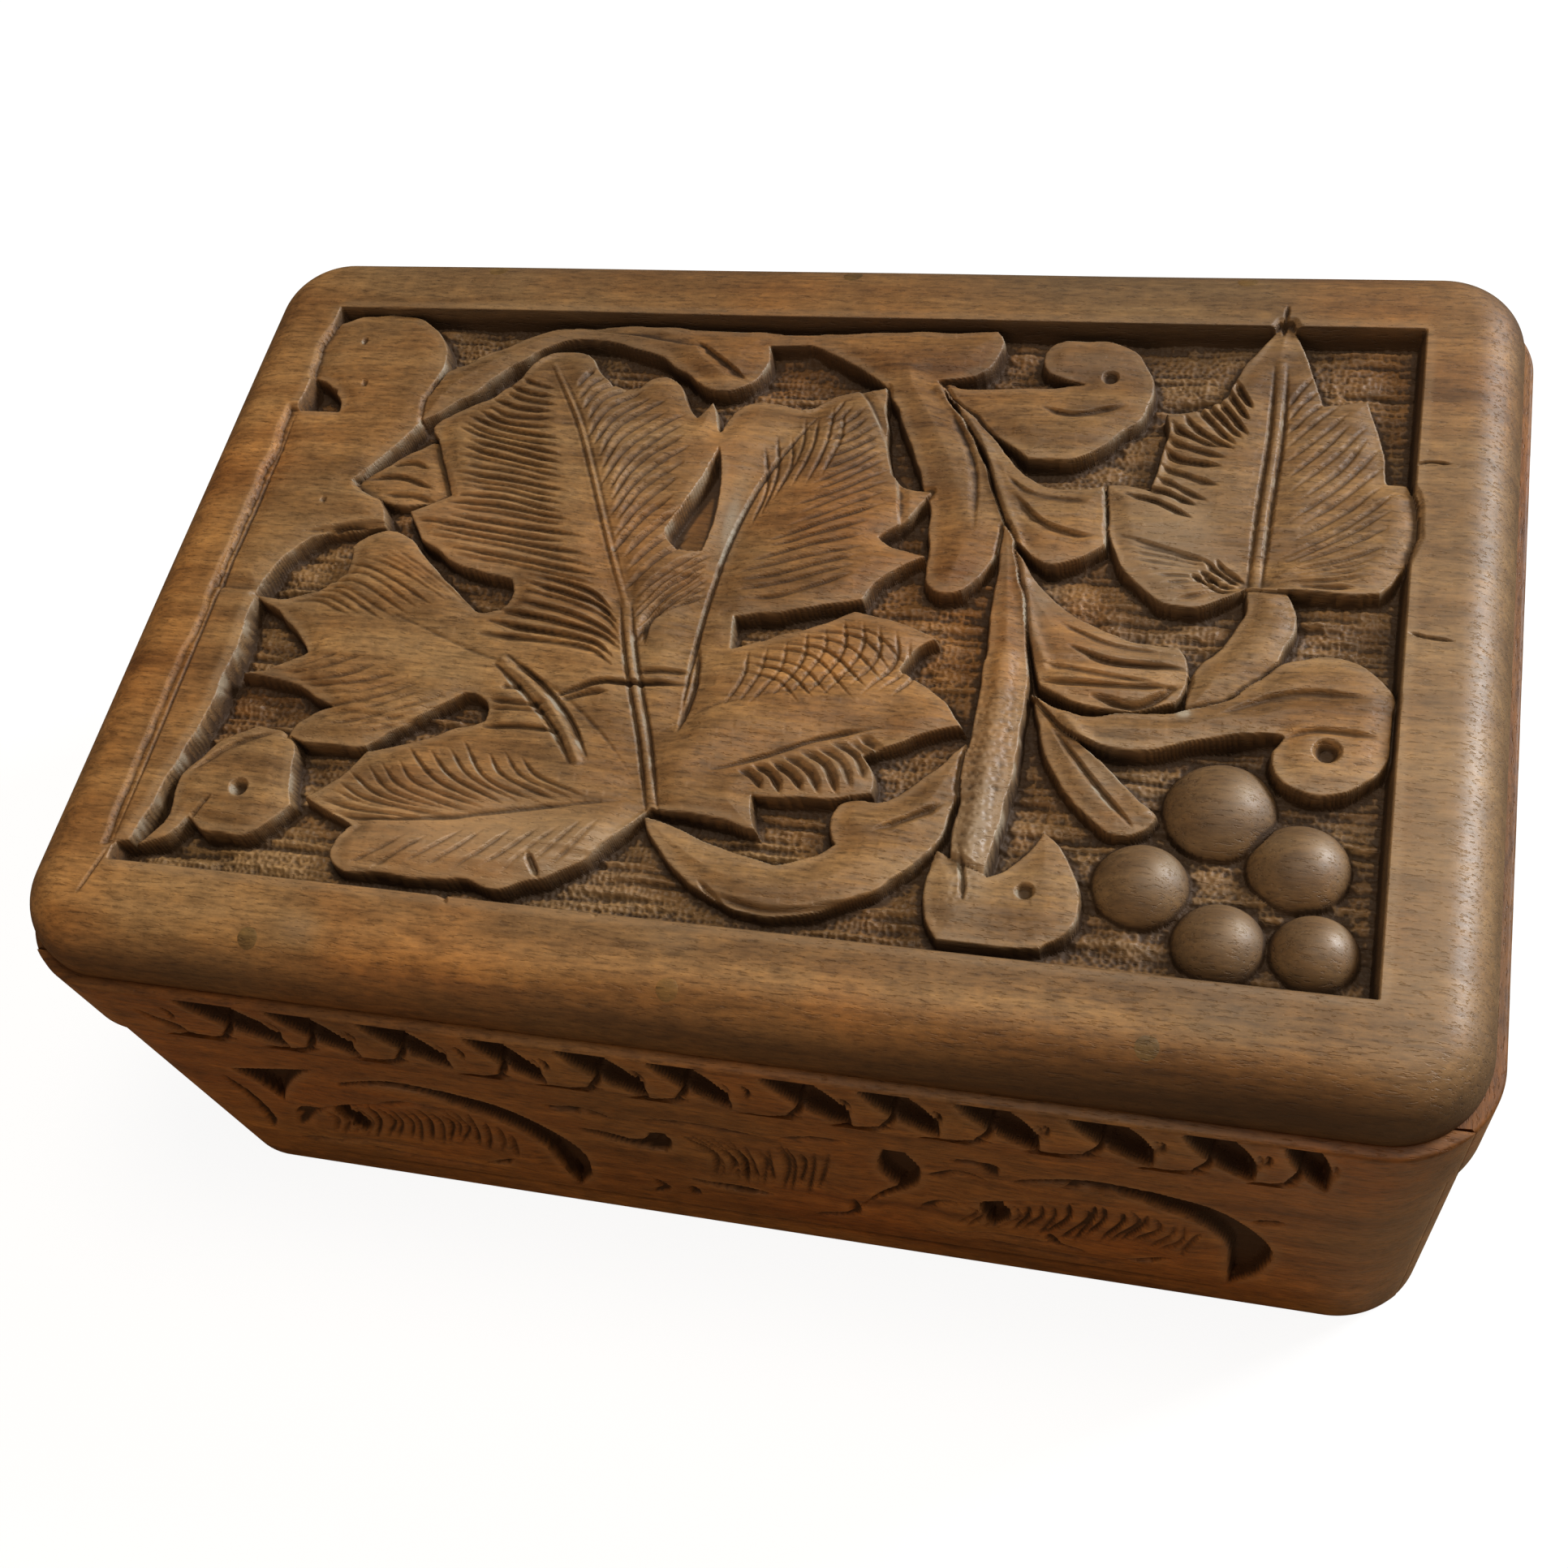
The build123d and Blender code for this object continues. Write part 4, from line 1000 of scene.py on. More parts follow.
def midrib(face, points, inside, depth, half):
    """Raised rib of a leaf, with a width from its middle, between two fine cuts along a soft hollow."""
    face.swell(points, -0.7, 3.2, inside)
    path = smooth(points)
    along = np.gradient(path, axis=0)
    aside = half * np.column_stack([-along[:, 1], along[:, 0]]) / np.hypot(*along.T)[:, None]
    face.cut((path + aside)[::4], depth, 0.5)
    face.cut((path - aside)[::4], depth, 0.5)
    face.swell(points, 0.3, 0.7, inside)


def away_from_edge(x, y):
    """Distance of places inside the board's rounded outline."""
    dx, dy = np.abs(x) - (board_half[0] - board_corner), np.abs(y) - (board_half[1] - board_corner)
    corner = board_corner - np.hypot(np.maximum(dx, 0), np.maximum(dy, 0))
    return np.minimum(corner, board_corner - np.maximum(dx, dy))


def hand_planed(x, y):
    """Slow waves of a board planed and rubbed down by hand: two slanting sine waves that never rise above
    its true face."""
    return -0.1 - 0.05 * np.sin(x / 11 + y / 17) - 0.05 * np.sin(y / 8 - x / 23 + 1.3)


panel_grid = [np.linspace(-half, half, count * cells + 1)
              for half, count, cells in zip(flat_half, tiles, tile_cells)]
panel = CarvedFace(*panel_grid, panel_sink)
u, v = np.meshgrid(*panel_grid)
corners = np.array([(-1, -1), (1, -1), (1, 1), (-1, 1)]) * panel_half
panel.sink(corners, panel_sink, 0.6)
fibres = panel.uneven(0.2).repeat(12, axis=1)[:, :len(panel.u)]
panel.height += np.where(panel.height < 0.1 - panel_sink, 0.13 * fibres + 0.2 * panel.uneven(1.4), 0)
panel.punch(punch_pitch, punch_depth, 0.8 - panel_sink, 7)
shaky = 0.16 * panel.uneven(1.2)

# Patches where the lid is painted darker, strongest along its back edge
lid_dark_patches = (
    (-10, 78, 90, 30, 0.60), (60, 76, 50, 22, 0.42), (4, 20, 12, 16, 0.26), (70, -66, 50, 10, 0.32),
    (22, 30, 12, 16, 0.26), (-30, 46, 26, 6, 0.16), (0, -12, 22, 12, 0.10), (-40, -66, 60, 6, 0.08),
    (66, 22, 18, 26, 0.06), (66, -38, 14, 14, 0.06))

# Each form's outline, drop, fall and width. A later one lies over those before it.
forms = (
    (left_ledge, 0.2, 0.25, 2.0), (left_scroll, 0.5, 0.5, 4.0), (corner_leaf, 0.6, 0.55, 4.0),
    (leaf_fold, 1.6, 0.45, 3.0), (small_stem, 1.0, 0.6, 3.2), (tongue_c, 1.2, 0.55, 2.8),
    (bird_scroll, 0.9, 0.5, 4.0), (tongue_b, 0.8, 0.55, 4.0), (tongue_a, 0.6, 0.6, 4.0),
    (arch_vine, 0.5, 0.75, 5.0), (leaf_stalk, 0.9, 0.65, 4.5), (vine_stem, 0.4, 0.55, 3.0),
    (branch_scroll, 0.5, 0.6, 4.0), (teardrop, 1.0, 0.5, 4.0), (small_leaf, 0.7, 0.55, 3.5),
    (vine_leaf, 0.7, 0.6, 3.5))
for runs, drop, fall, width in forms:
    form(panel, outline(runs), drop, fall, width)
panel.height += (0.1 * panel.uneven(2.6) + 0.045 * fibres) * ease((-0.3 - panel.height) / 0.3)
panel.darkening += patches_at(u, v, lid_dark_patches)
for place in grapes:
    grape(panel, *place)
panel.sink(outline(leaf_hole), 3.9)
turn = np.linspace(0, 2 * math.pi, 17)[:-1]
scroll_eyes = ((42.3, 43.2, 2.0), (77.3, -18.8, 2.2), (42.5, -42.8, 2.0), (-70, -39.3, 1.8))
for x, y, radius in scroll_eyes:
    panel.sink(np.column_stack([x + radius * np.cos(turn), y + radius * np.sin(turn)]), 2.1, 1.3)

# Veins of the big leaf
big_leaf = outline(vine_leaf)
midrib(panel, [(-8.6, -37), (-11, -30), (-14, -22), (-18, -12), (-21.5, -2)], big_leaf, 0.65, 0.8)
midrib(panel, [(-21.5, -2), (-25, 5), (-33, 22), (-38, 32), (-45, 43)], big_leaf, 0.3, 0.5)

# Hollows along the veins: each one's path, its rise and the depth of the crease along it
leaf_hollows = (
    ([(-8.5, -22), (-9, -12), (-9, 0), (-8, 12), (-5, 24), (0, 34)], -0.9, 0.8),
    ([(-13, -31), (-20, -24), (-30, -17), (-44, -12), (-60, -6)], -0.5, 0.2),
    ([(-13, -35), (-25, -37.6), (-38, -40.6), (-52, -42)], -0.5, 0.5),
    ([(-2, -29), (5, -26), (12, -22.6), (20, -20)], -0.6, 0.7),
    ([(-12, -24), (-4, -19), (8, -15), (20, -10)], -0.4, 0.2))
for points, hollow, crease in leaf_hollows:
    panel.swell(points, hollow, 3.4, big_leaf)
    panel.cut(points, crease, 0.5)

# Swellings between them: each one's path, its rise and its width
leaf_swells = (
    ([(-52, 20), (-42, 14), (-32, 10)], 0.5, 7), ([(-24, 30), (-20, 22), (-16, 16)], 0.4, 4),
    ([(2, 30), (6, 20), (6, 8)], 0.5, 5), ([(14, -14), (4, -18), (-4, -22)], 0.5, 4),
    ([(-60, -14), (-50, -8), (-62, -2)], 0.5, 5), ([(-45, -34), (-34, -36)], 0.4, 4),
    ([(-40, -46), (-28, -45), (-18, -41)], 0.5, 4))
for points, rise, width in leaf_swells:
    panel.swell(points, rise, width, big_leaf)

# Guides of the fine veins
top_left = [
    [(-50, 40), (-47, 38.5), (-42.5, 37.5)], [(-55, 34), (-49, 31.5), (-40.5, 31)],
    [(-58, 29), (-50, 26.5), (-38, 24)], [(-57, 21.5), (-46, 20), (-35.5, 18)],
    [(-56, 15.5), (-45, 15), (-32.5, 12)], [(-58, 10.5), (-45, 9), (-29.5, 7)],
    [(-52, 4.5), (-40, 3), (-25.5, 0)]]
top_right = [
    [(-40, 38), (-39, 40), (-38, 42.5)], [(-36, 29.5), (-34, 34), (-29, 38.5)],
    [(-31.5, 20.5), (-29, 28), (-21.5, 35)], [(-28.5, 12), (-25, 21), (-17, 29)],
    [(-26, 5), (-22, 12), (-18, 17)], [(-21.5, -2), (-16, 4), (-11, 8)],
    [(-19, -9), (-16, -2), (-9.5, 5)], [(-17, -11), (-16, -5), (-10, 0)]]
low_lobe = [
    [(-57, -41), (-50, -41.6), (-40, -41)], [(-56, -37), (-50, -39), (-38, -40.6)],
    [(-52, -32), (-46, -37), (-35, -39.5)], [(-46, -29.5), (-40, -35), (-30, -38.2)],
    [(-38, -28), (-33, -34), (-24, -37)], [(-30, -29.5), (-26, -33), (-17, -35.6)]]
low_under = [
    [(-50, -49.5), (-46, -46.5), (-42, -44)], [(-40, -49), (-36, -46), (-32, -42)],
    [(-30, -49), (-26, -45), (-22, -40)], [(-21, -47), (-18, -43), (-15, -38)]]
side_lobe = [
    [(-46, -9.2), (-33, -9.8), (-25, -10.8), (-20.5, -13.6)],
    [(-41, -5), (-31, -6.6), (-24, -8), (-20, -10.5)], [(-40, -1), (-31, -2.4), (-24, -5), (-20.5, -8)],
    [(-39, 1.5), (-33, 1), (-27, -1), (-22.5, -4)]]
left_upper = [
    [(-77, -6.5), (-70, -6), (-62, -9)], [(-71, -2), (-64, -3), (-54, -8)],
    [(-67, 4), (-58, 1), (-48, -4)], [(-58, 5), (-50, 0), (-43, -5.5)]]
left_lower = [
    [(-76, -19), (-68, -17.5), (-60, -13.5)], [(-67, -21), (-58, -20), (-50, -17)],
    [(-64, -28), (-54, -25), (-45, -20.5)], [(-52, -29), (-46, -25.5), (-38, -23)]]
right_lower = [
    [(1, -28.4), (3.6, -29.6), (5.6, -31.8)], [(5, -26.6), (9, -29), (11, -31.6)],
    [(9, -24.6), (13, -27), (15.6, -31)], [(13, -22.8), (17, -25), (19.6, -29)],
    [(16.6, -21.8), (19, -22.6), (21, -24.4)]]
right_upright = [
    [(-1, -8), (-1, -14), (-3, -20)], [(4, -6), (4, -12), (1, -19)], [(9, -3.4), (9.6, -9), (6, -17)],
    [(14, -1.6), (15, -8), (11, -16)], [(19, -3), (19.6, -9), (16, -16)],
    [(23, -5), (22.6, -11), (20, -16)]]
right_across = [
    [(-4, -12.6), (4, -14), (9, -18.6)], [(-2, -9.6), (7, -11), (14, -17.4)],
    [(3, -6.6), (12, -8), (19, -14)], [(9, -3.6), (16, -5), (22, -10)]]
far_right = [
    [(1, 33), (2.6, 35), (4, 38)], [(2, 27), (6, 30), (9.4, 33.4)], [(2, 20), (7, 23), (11.6, 28)],
    [(-2, 12), (6, 16), (14, 21)], [(-6, 5), (2, 8), (12, 11)], [(-7.5, -1), (2, 1), (13, 5.4)]]
far_upright = [
    [(-7, 28), (-5, 20), (-6, 12)], [(-2, 35), (-1, 27), (-3, 18)], [(4, 37), (4.6, 29), (3, 21)]]

# Each fan's guides and count of cuts, and the depth of its cuts with their widths on the left and right
leaf_fans = (
    (top_left, 25, 0.8, 0.4, 0.9), (top_right, 26, 0.8, 0.9, 0.4), (low_lobe, 15, 0.5, 0.5, 0.4),
    (low_under, 9, 0.35, 0.4, 0.6), (side_lobe, 7, 1.1, 0.4, 1.3), (left_upper, 12, 0.35, 0.4, 0.6),
    (left_lower, 11, 0.35, 0.4, 0.6), (right_lower, 9, 1.0, 1.2, 0.4),
    (right_upright, 11, 0.45, 0.35, 0.45), (right_across, 8, 0.4, 0.35, 0.45),
    (far_right, 19, 0.45, 0.4, 0.6), (far_upright, 7, 0.4, 0.4, 0.5))
for fan in leaf_fans:
    panel.fan(*fan)
panel.swell([(-37, -14), (-30.5, -18.6), (-25, -24), (-21, -29.8)], 0.5, 0.6)
leaf_cuts = (
    ([(-28, -19.4), (-22, -16.6), (-18, -16), (-9, -15.4)], 1.2),
    ([(-27, -19.8), (-23, -18.4), (-20, -18)], 0.9), ([(-17, -14), (-9, -13.4)], 0.8),
    ([(-36.6, -13), (-30, -17.4), (-24.2, -23), (-20, -29)], 0.9),
    ([(-38, -14.6), (-31.4, -19.8), (-26, -25), (-22, -30.4)], 0.9),
    ([(-37, -20.6), (-32, -21), (-27.6, -20.4)], 0.9), ([(-36.6, -22), (-27, -22)], 0.7),
    ([(-37, -25.2), (-31, -25), (-25, -25.2)], 1.0), ([(-36, -18.6), (-33, -18)], 0.7),
    ([(-70, 18.4), (-64, 19), (-58, 17)], 0.8), ([(-67, 21.6), (-63, 22), (-60, 21)], 0.7),
    ([(-66, 15.6), (-61, 15.6), (-57, 14.6)], 0.6), ([(-75, 5), (-70, 8.6), (-62, 9.6)], 1.0),
    ([(-24, -45), (-22, -48)], 1.0), ([(-13, -50), (-12, -53.5)], 0.9), ([(-36, -50), (-33, -54)], 0.9),
    ([(-8.6, -9), (-7.6, -16), (-8.4, -23)], 0.9))
for stroke, depth in leaf_cuts:
    panel.cut(stroke, depth, 0.55, 0.75)

# Veins of the small leaf, and cuts along the vine, its tongues, scrolls and stalks
small_loop = outline(small_leaf)
midrib(panel, [(66, 6.5), (66.2, 20), (66.6, 34), (66.2, 47)], small_loop, 0.6, 0.9)
for points in ([(64.5, 9), (59, 18), (53, 27)], [(64, 8), (56, 11), (48, 14)],
               [(68, 10), (74, 18), (79, 28)]):
    panel.swell(points, -0.5, 3, small_loop)
small_left = [
    [(60, 44), (61.6, 41), (63, 38)], [(57.6, 41), (60, 37), (63, 33)], [(55, 39), (58, 34.6), (62, 30.6)],
    [(51.6, 36), (54, 33), (60, 30)], [(50.6, 31), (54, 28.4), (60, 27)],
    [(50.4, 26), (53.6, 23.6), (59, 21)], [(46, 22.4), (51, 21), (57, 18)]]
small_under = [
    [(46, 15), (53, 13), (60, 11)], [(49, 8.5), (56, 9), (63, 8.5)], [(56, 4), (60, 5.5), (64, 7.5)]]
small_right = [
    [(71, 45), (69, 41), (67.6, 38)], [(76, 39), (72, 34), (68, 29)], [(80, 34), (76, 27), (70, 20)],
    [(84, 25), (77, 18), (69, 12)], [(84, 14), (77, 11), (69, 9)], [(80, 7.5), (75, 7.5), (69, 8)]]
small_foot = [[(60.4, 11.6), (62, 10), (64.6, 8.4)], [(57, 9), (61, 6.6), (64, 6.4)]]
small_fans = (
    (small_left, 13, 1.0, 0.4, 1.0), (small_under, 9, 0.5, 0.4, 0.8), (small_right, 19, 0.45, 0.4, 0.6),
    (small_foot, 4, 1.0, 0.4, 0.8))
for fan in small_fans:
    panel.fan(*fan)
panel.swell([(17.6, 40), (25, 30.6), (30, 20), (33.4, 12), (36.6, 0), (40, -8)], 0.6, 0.9)
panel.swell([(44, -16.6), (50, -23), (56, -29.4)], 0.6, 1.0)
panel.swell([(34.6, -8), (35, -26), (34.6, -40)], 0.35, 1.4)

# Strokes with their depth and their widths on the left and right
vine_cuts = (
    ([(33, 37), (38, 36), (45, 38)], 0.7, 0.5, 1.2), ([(17, 41), (28, 41.5), (38.5, 42)], 0.9, 0.6, 0.9),
    ([(32, 20), (36, 16), (41, 14), (44, 14)], 0.8, 0.5, 1.5),
    ([(30, 24), (34, 21), (42, 20)], 0.5, 0.5, 1.2), ([(43, -5), (49, -7), (58, -7.2)], 1.1, 0.5, 1.0),
    ([(39, -10.6), (48, -10.8), (57.6, -10.4)], 0.9, 0.5, 0.8),
    ([(47, -12.6), (53, -13.6), (58, -10)], 1.2, 0.8, 0.8),
    ([(22, -36), (26, -33.6), (30, -31)], 0.9, 0.5, 1.0), ([(41, -1), (48, -4), (56, -5)], 0.5, 0.4, 1.0),
    ([(39, -8), (46, -9), (55, -10)], 0.5, 0.4, 1.0),
    ([(64, -14), (70, -11), (75, -10), (81, -10.3)], 0.8, 0.6, 2.4),
    ([(72, -17), (76, -15.8), (83, -16)], 0.7, 0.6, 1.0),
    ([(33.5, -38), (34.5, -42), (35, -45)], 0.8, 0.5, 0.5),
    ([(43, -18.4), (48.6, -25.4), (54.4, -31.6)], 0.8, 0.5, 0.8),
    ([(0, -46), (2, -47.5), (4, -49)], 0.6, 0.5, 0.5),
    ([(0, -47), (10, -49), (20, -47), (28, -42), (31, -36)], 0.8, 0.6, 1.6),
    ([(-22, 48), (-17, 44), (-13, 41)], 0.8, 0.5, 1.6),
    ([(-60, 42), (-48, 50), (-36, 50), (-20, 47)], 0.7, 1.6, 0.5),
    ([(-79, -37), (-74, -32), (-68, -29)], 0.7, 0.5, 1.2),
    ([(-76.5, -45), (-75, -42.5), (-74, -41)], 0.6, 0.5, 0.5),
    ([(-76, 7), (-70, 8.5), (-65, 9)], 0.8, 0.5, 1.2), ([(-79.5, 46), (-78.5, 46)], 0.6, 1.0, 1.0),
    ([(-76.5, 37), (-75.5, 37)], 0.5, 0.8, 0.8), ([(-75.5, 13), (-74.5, 13)], 0.5, 0.8, 0.8),
    ([(2, 44), (8, 36), (14, 24), (17, 10)], 0.5, 1.4, 0.5),
    ([(20, 36), (25, 26), (27, 14)], 0.4, 0.5, 1.2),
    ([(-86, 30), (-86, 5), (-86, -25), (-86, -51)], 0.5, 0.35, 0.35),
    ([(-86, -51), (-87, -55), (-88, -59)], 0.4, 0.35, 0.35),
    ([(85, 28), (87, 28.6), (90, 28.4)], 0.7, 0.3, 0.3), ([(86, 0), (88, -0.6), (91.5, -1)], 0.7, 0.3, 0.3),
    ([(66, 52), (66.2, 57)], 0.7, 0.4, 0.4))
for cut in vine_cuts:
    panel.cut(*cut)
panel.sink(np.array([(-86, 31), (-80, 31.5), (-80.5, 36), (-85, 38)]), 3.8)
stippled = outline(vine_stem)
stipple_pitch, stipple_depth = 1.1, 0.16
part, x, y = panel.near(stippled, 0)
dents = np.clip(1.1 - 2.2 * scattered(x, y, stipple_pitch, 31), 0, 1)
dents *= ease(inset_of(stippled, x, y)) * ease((-8 - y) / 12)
panel.height[part] -= stipple_depth * dents

# Orange, grey and pale patches of the lid, and patches painted lighter and glossier. The pale patches at
# (38, 2) and (50, -23), on lit edges beside the vine stem and on tongue_c, and those on the grapes are
# painted highlights.
lid_patches = (
    (35.6, -33, 3.4, 14, -1.0), (54, 14, 7, 11, -0.8), (38, 2, 3, 9, -0.9), (50, -23, 3, 5, -0.8),
    (59, -14.4, 1.0, 0.8, -2.6), (-9, 14, 1.6, 8, -1.5), (40, 46, 8, 3, -0.6), (8, 18, 12, 12, 0.6),
    (8, -12, 14, 8, 0.7), (-94, -5, 9, 70, 0.8), (-30, -64, 45, 6, 0.55), (50, -64, 50, 5, 0.7),
    (93, 12, 7, 60, -0.35), (-55, 12, 12, 9, 0.35), (-11, 25, 5, 7, 0.8), (-40, -43, 18, 7, 0.45),
    (8, -27, 16, 7, 0.4), (0, 62, 70, 7, -0.3), (-10, 60, 25, 5, 0.5), (65, -35, 16, 16, -0.25),
    (-52.6, -60.7, 3.5, 2.6, -0.8), (-0.8, -56, 4, 2, -0.35), (69.5, -57.4, 6, 3, -0.6),
    *(highlight_patch_of(*place, -0.9) for place in grapes))
lighter_and_highlit = (
    (-32, -43, 20, 7, 1.1), (-52, 13, 10, 7, 0.5), (-11, 25, 6, 9, 0.5), (-44, 6, 14, 5, 0.3),
    (12, -26, 14, 5, 0.3), (93, -35, 8, 40, 0.6), (35, -33, 4, 14, 0.5), (54, 14, 7, 10, 0.5),
    (50, -5, 8, 5, 0.4), *(highlight_patch_of(*place, 0.8) for place in grapes))
# Painted light on the rims that face the window, only inside the sunk panel
off_border = ease(inset_of(corners, u, v) / 1.5 - 0.7)
panel.age(lid_patches, shallow=2.2, deep=3.6, share=0.05, rim_light=off_border, lighter_and_highlit=lighter_and_highlit)


def rounded_over(x, y):
    """How far the rounded edge has fallen at places: its radius less the height of the quarter circle."""
    into = np.clip(roundover - away_from_edge(x, y), 0, roundover)
    return roundover - np.sqrt(roundover**2 - into**2)


# The board's top, made as nine closed tiles
surface = lid_top + panel.height - rounded_over(u, v) + hand_planed(u, v)
slope_v, slope_u = np.gradient(surface, panel.v, panel.u)


def border_of(rows, columns):
    """Numbers of a grid's border points, counterclockwise."""
    numbers = np.arange(rows * columns).reshape(rows, columns)
    return np.concatenate([numbers[0, :-1], numbers[:-1, -1], numbers[-1, :0:-1], numbers[:0:-1, 0]])


def board_tile(name, rows, columns):
    """Closed mesh of one tile: the carved surface, upright sides and a flat underside. The normals of its
    top come from the slopes of the whole panel, so that no seam shows between tiles."""
    top = np.stack([u[rows, columns], v[rows, columns], surface[rows, columns]], -1)
    shape = top.shape[:2]
    top = top.reshape(-1, 3)
    border = border_of(*shape)
    below = top[border] * (1, 1, 0) + (0, 0, board_low[2])
    low = np.arange(len(border)) + len(top)
    sides = np.stack([np.roll(border, -1), border, low, np.roll(low, -1)], 1)
    quads = np.vstack([grid_quads(*shape)[:, ::-1], sides])
    marks = {mark: np.concatenate([values[rows, columns].ravel(), np.zeros(len(border))])
             for mark, values in panel.marks.items()}
    tile = make_mesh(name, np.vstack([top, below]), quads, [low[::-1]], marks)
    normals = np.stack([-slope_u[rows, columns], -slope_v[rows, columns], np.ones(shape)], -1).reshape(-1, 3)
    normals /= np.linalg.norm(normals, axis=1)[:, None]
    outwards = (below - below.mean(0)) * (1, 1, 0)
    outwards /= np.linalg.norm(outwards, axis=1)[:, None]
    tile.data.normals_split_custom_set_from_vertices(np.vstack([normals, outwards]).tolist())
    return tile


walnut_top = walnut_material("walnut_top", start=(5, 60, 0))
for row in range(tiles[1]):
    for column in range(tiles[0]):
        part = [slice(place * cells, (place + 1) * cells + 1)
                for place, cells in zip((row, column), tile_cells[::-1])]
        tile = board_tile(f"lid_panel_{row + 1}_{column + 1}", *part)
        dress(tile, "lid", "walnut", walnut_top, "lid_top_board")

# The rounded edge: a quarter round outwards from every second border point of the tiles, a fine arris
# below it, and back under the board
inner = np.stack([u, v], -1).reshape(-1, 2)[border_of(*u.shape)][::2]
straight = board_half - board_corner
beyond = np.sign(inner) * np.maximum(np.abs(inner) - straight, 0)
at_edge = np.abs(inner) >= flat_half - 1e-6
in_corner = (beyond != 0).all(1)[:, None]
outwards = np.where(in_corner, beyond, np.sign(inner) * at_edge)
outwards = outwards / np.linalg.norm(outwards, axis=1)[:, None]
start = away_from_edge(*inner.T)
tilt = np.arcsin(np.clip((roundover - start) / roundover, 0, 1))
ring = []
for share in np.linspace(0, 1, 23):
    angle = tilt + share * (math.pi / 2 - tilt)
    place = inner + outwards * (start - roundover * (1 - np.sin(angle)))[:, None]
    level = lid_top - roundover * (1 - np.cos(angle)) + hand_planed(*place.T) * np.cos(angle)
    ring.append(np.column_stack([place, level]))
outer = ring[-1][:, :2]
lower_arris = ((0, 1.0), (0, 0.35), (0.12, 0.08), (0.4, 0))
for back, level in lower_arris:
    ring.append(np.column_stack([outer - outwards * back, np.full(len(outer), board_low[2] + level)]))
ring.append(np.column_stack([inner, np.full(len(inner), board_low[2])]))
ring = np.stack(ring, 1)
size = ring.shape[1]
x, y, z = np.moveaxis(ring, 2, 0)
# Painted shade: the rounded edge is painted darker as it turns down, and the lid's darker patches are added
# to it
marks = {"hollow": patches_at(x, y, lid_dark_patches) + 0.5 * ease((lid_top - 0.8 - z) / 4),
         "wear_and_highlight": patches_at(x, y, lighter_and_highlit), "tone_and_highlight": patches_at(x, y, lid_patches)}
quads = grid_quads(len(ring), size, around=True, closed=True)
edge = make_mesh("lid_board_edge", ring.reshape(-1, 3), quads, (), marks)
dress(edge, "lid", "walnut", walnut_top, "lid_top_board")


# Pegs
# Six dark pegs through the lid board into the rails, pared off with the board and rubbed round.
peg_low, peg_high = node_box("lid_top_pegs")
peg_radius = 2.0
peg_places = [(x, y) for x in (peg_low[0] + peg_radius, 0, peg_high[0] - peg_radius)
              for y in (peg_low[1] + peg_radius, peg_high[1] - peg_radius)]


def turned(profile, count=32):
    """Closed mesh of a profile of (radius, height) turned about Z, from its middle on top outwards, down
    and in again: its points, quads and two caps."""
    turn = np.arange(count)[:, None] * 2 * math.pi / count
    radius, height = np.array(profile, float).T
    points = np.stack([radius * np.cos(turn), radius * np.sin(turn), height + 0 * turn], -1)
    first = np.arange(count) * len(profile)
    caps = [first, (first + len(profile) - 1)[::-1]]
    return points.reshape(-1, 3), grid_quads(count, len(profile), closed=True), caps


def joined(parts):
    """Points, quads and caps of several closed meshes as one."""
    points, quads, caps, count = [], [], [], 0
    for more, sides, ends in parts:
        points.append(more)
        quads.append(sides + count)
        caps += [end + count for end in ends]
        count += len(more)
    return np.vstack(points), np.vstack(quads), caps


peg_wood = walnut_material("peg_wood", tint=(0.66, 0.70, 0.62))
peg_profile = [
    (0.3, 0.06), (0.8, 0.05), (1.3, 0.03), (1.7, -0.02), (1.9, -0.12), (peg_radius, -0.3), (peg_radius, -3),
    (0.3, -3)]
peg_foot = lid_top - 2.5
parts = []
for x, y in peg_places:
    points, quads, caps = turned(peg_profile)
    points = points + (x, y, lid_top)
    points[:, 2] += hand_planed(*points.T[:2]) - rounded_over(*points.T[:2])
    points[points[:, 2] < peg_foot, 2] = peg_low[2]
    parts.append((points, quads, caps))
pegs = make_mesh("lid_pegs", *joined(parts))
dress(pegs, "lid", "peg_wood", peg_wood, "lid_top_pegs")


# Screws
# Eight slotted brass screws, four to a hinge, with flat heads sunk in the leaves.
head_radius = 1.66
head_height = 1.0
shank_radius = 0.8
shank_end, screw_point = -6.5, -8
slot_half, slot_depth = 0.24, 0.4
screw_offset = 7


def slotted_screw():
    """Closed meshes of a screw that stands with its head's top at zero: a flat cone cut by a slot across,
    as sections from side to side, and a shank."""
    shares = np.array([0.13, 0.16, 0.45, 0.7, 0.9, 0.985])
    across = np.concatenate([-shares[::-1], [0], shares]) * head_radius
    half = np.sqrt(head_radius**2 - across**2)
    top = np.where(np.abs(across) < slot_half, -slot_depth, 0)
    small = shank_radius / head_radius
    upper = [np.column_stack([across, t * half, top]) for t in np.linspace(-1, 1, 7)]
    lower = [np.column_stack([across * small, -t * half * small, 0 * across - head_height])
             for t in np.linspace(-1, 1, 7)]
    sections = np.stack(upper + lower, 1)
    count, size = sections.shape[:2]
    caps = [np.arange(size), np.arange(size)[::-1] + (count - 1) * size]
    head = (sections.reshape(-1, 3), grid_quads(count, size, around=True), caps)
    shank = turned([(0.1, -head_height), (shank_radius, -head_height), (shank_radius, shank_end),
                    (0.1, screw_point)], 16)
    return joined([head, shank])


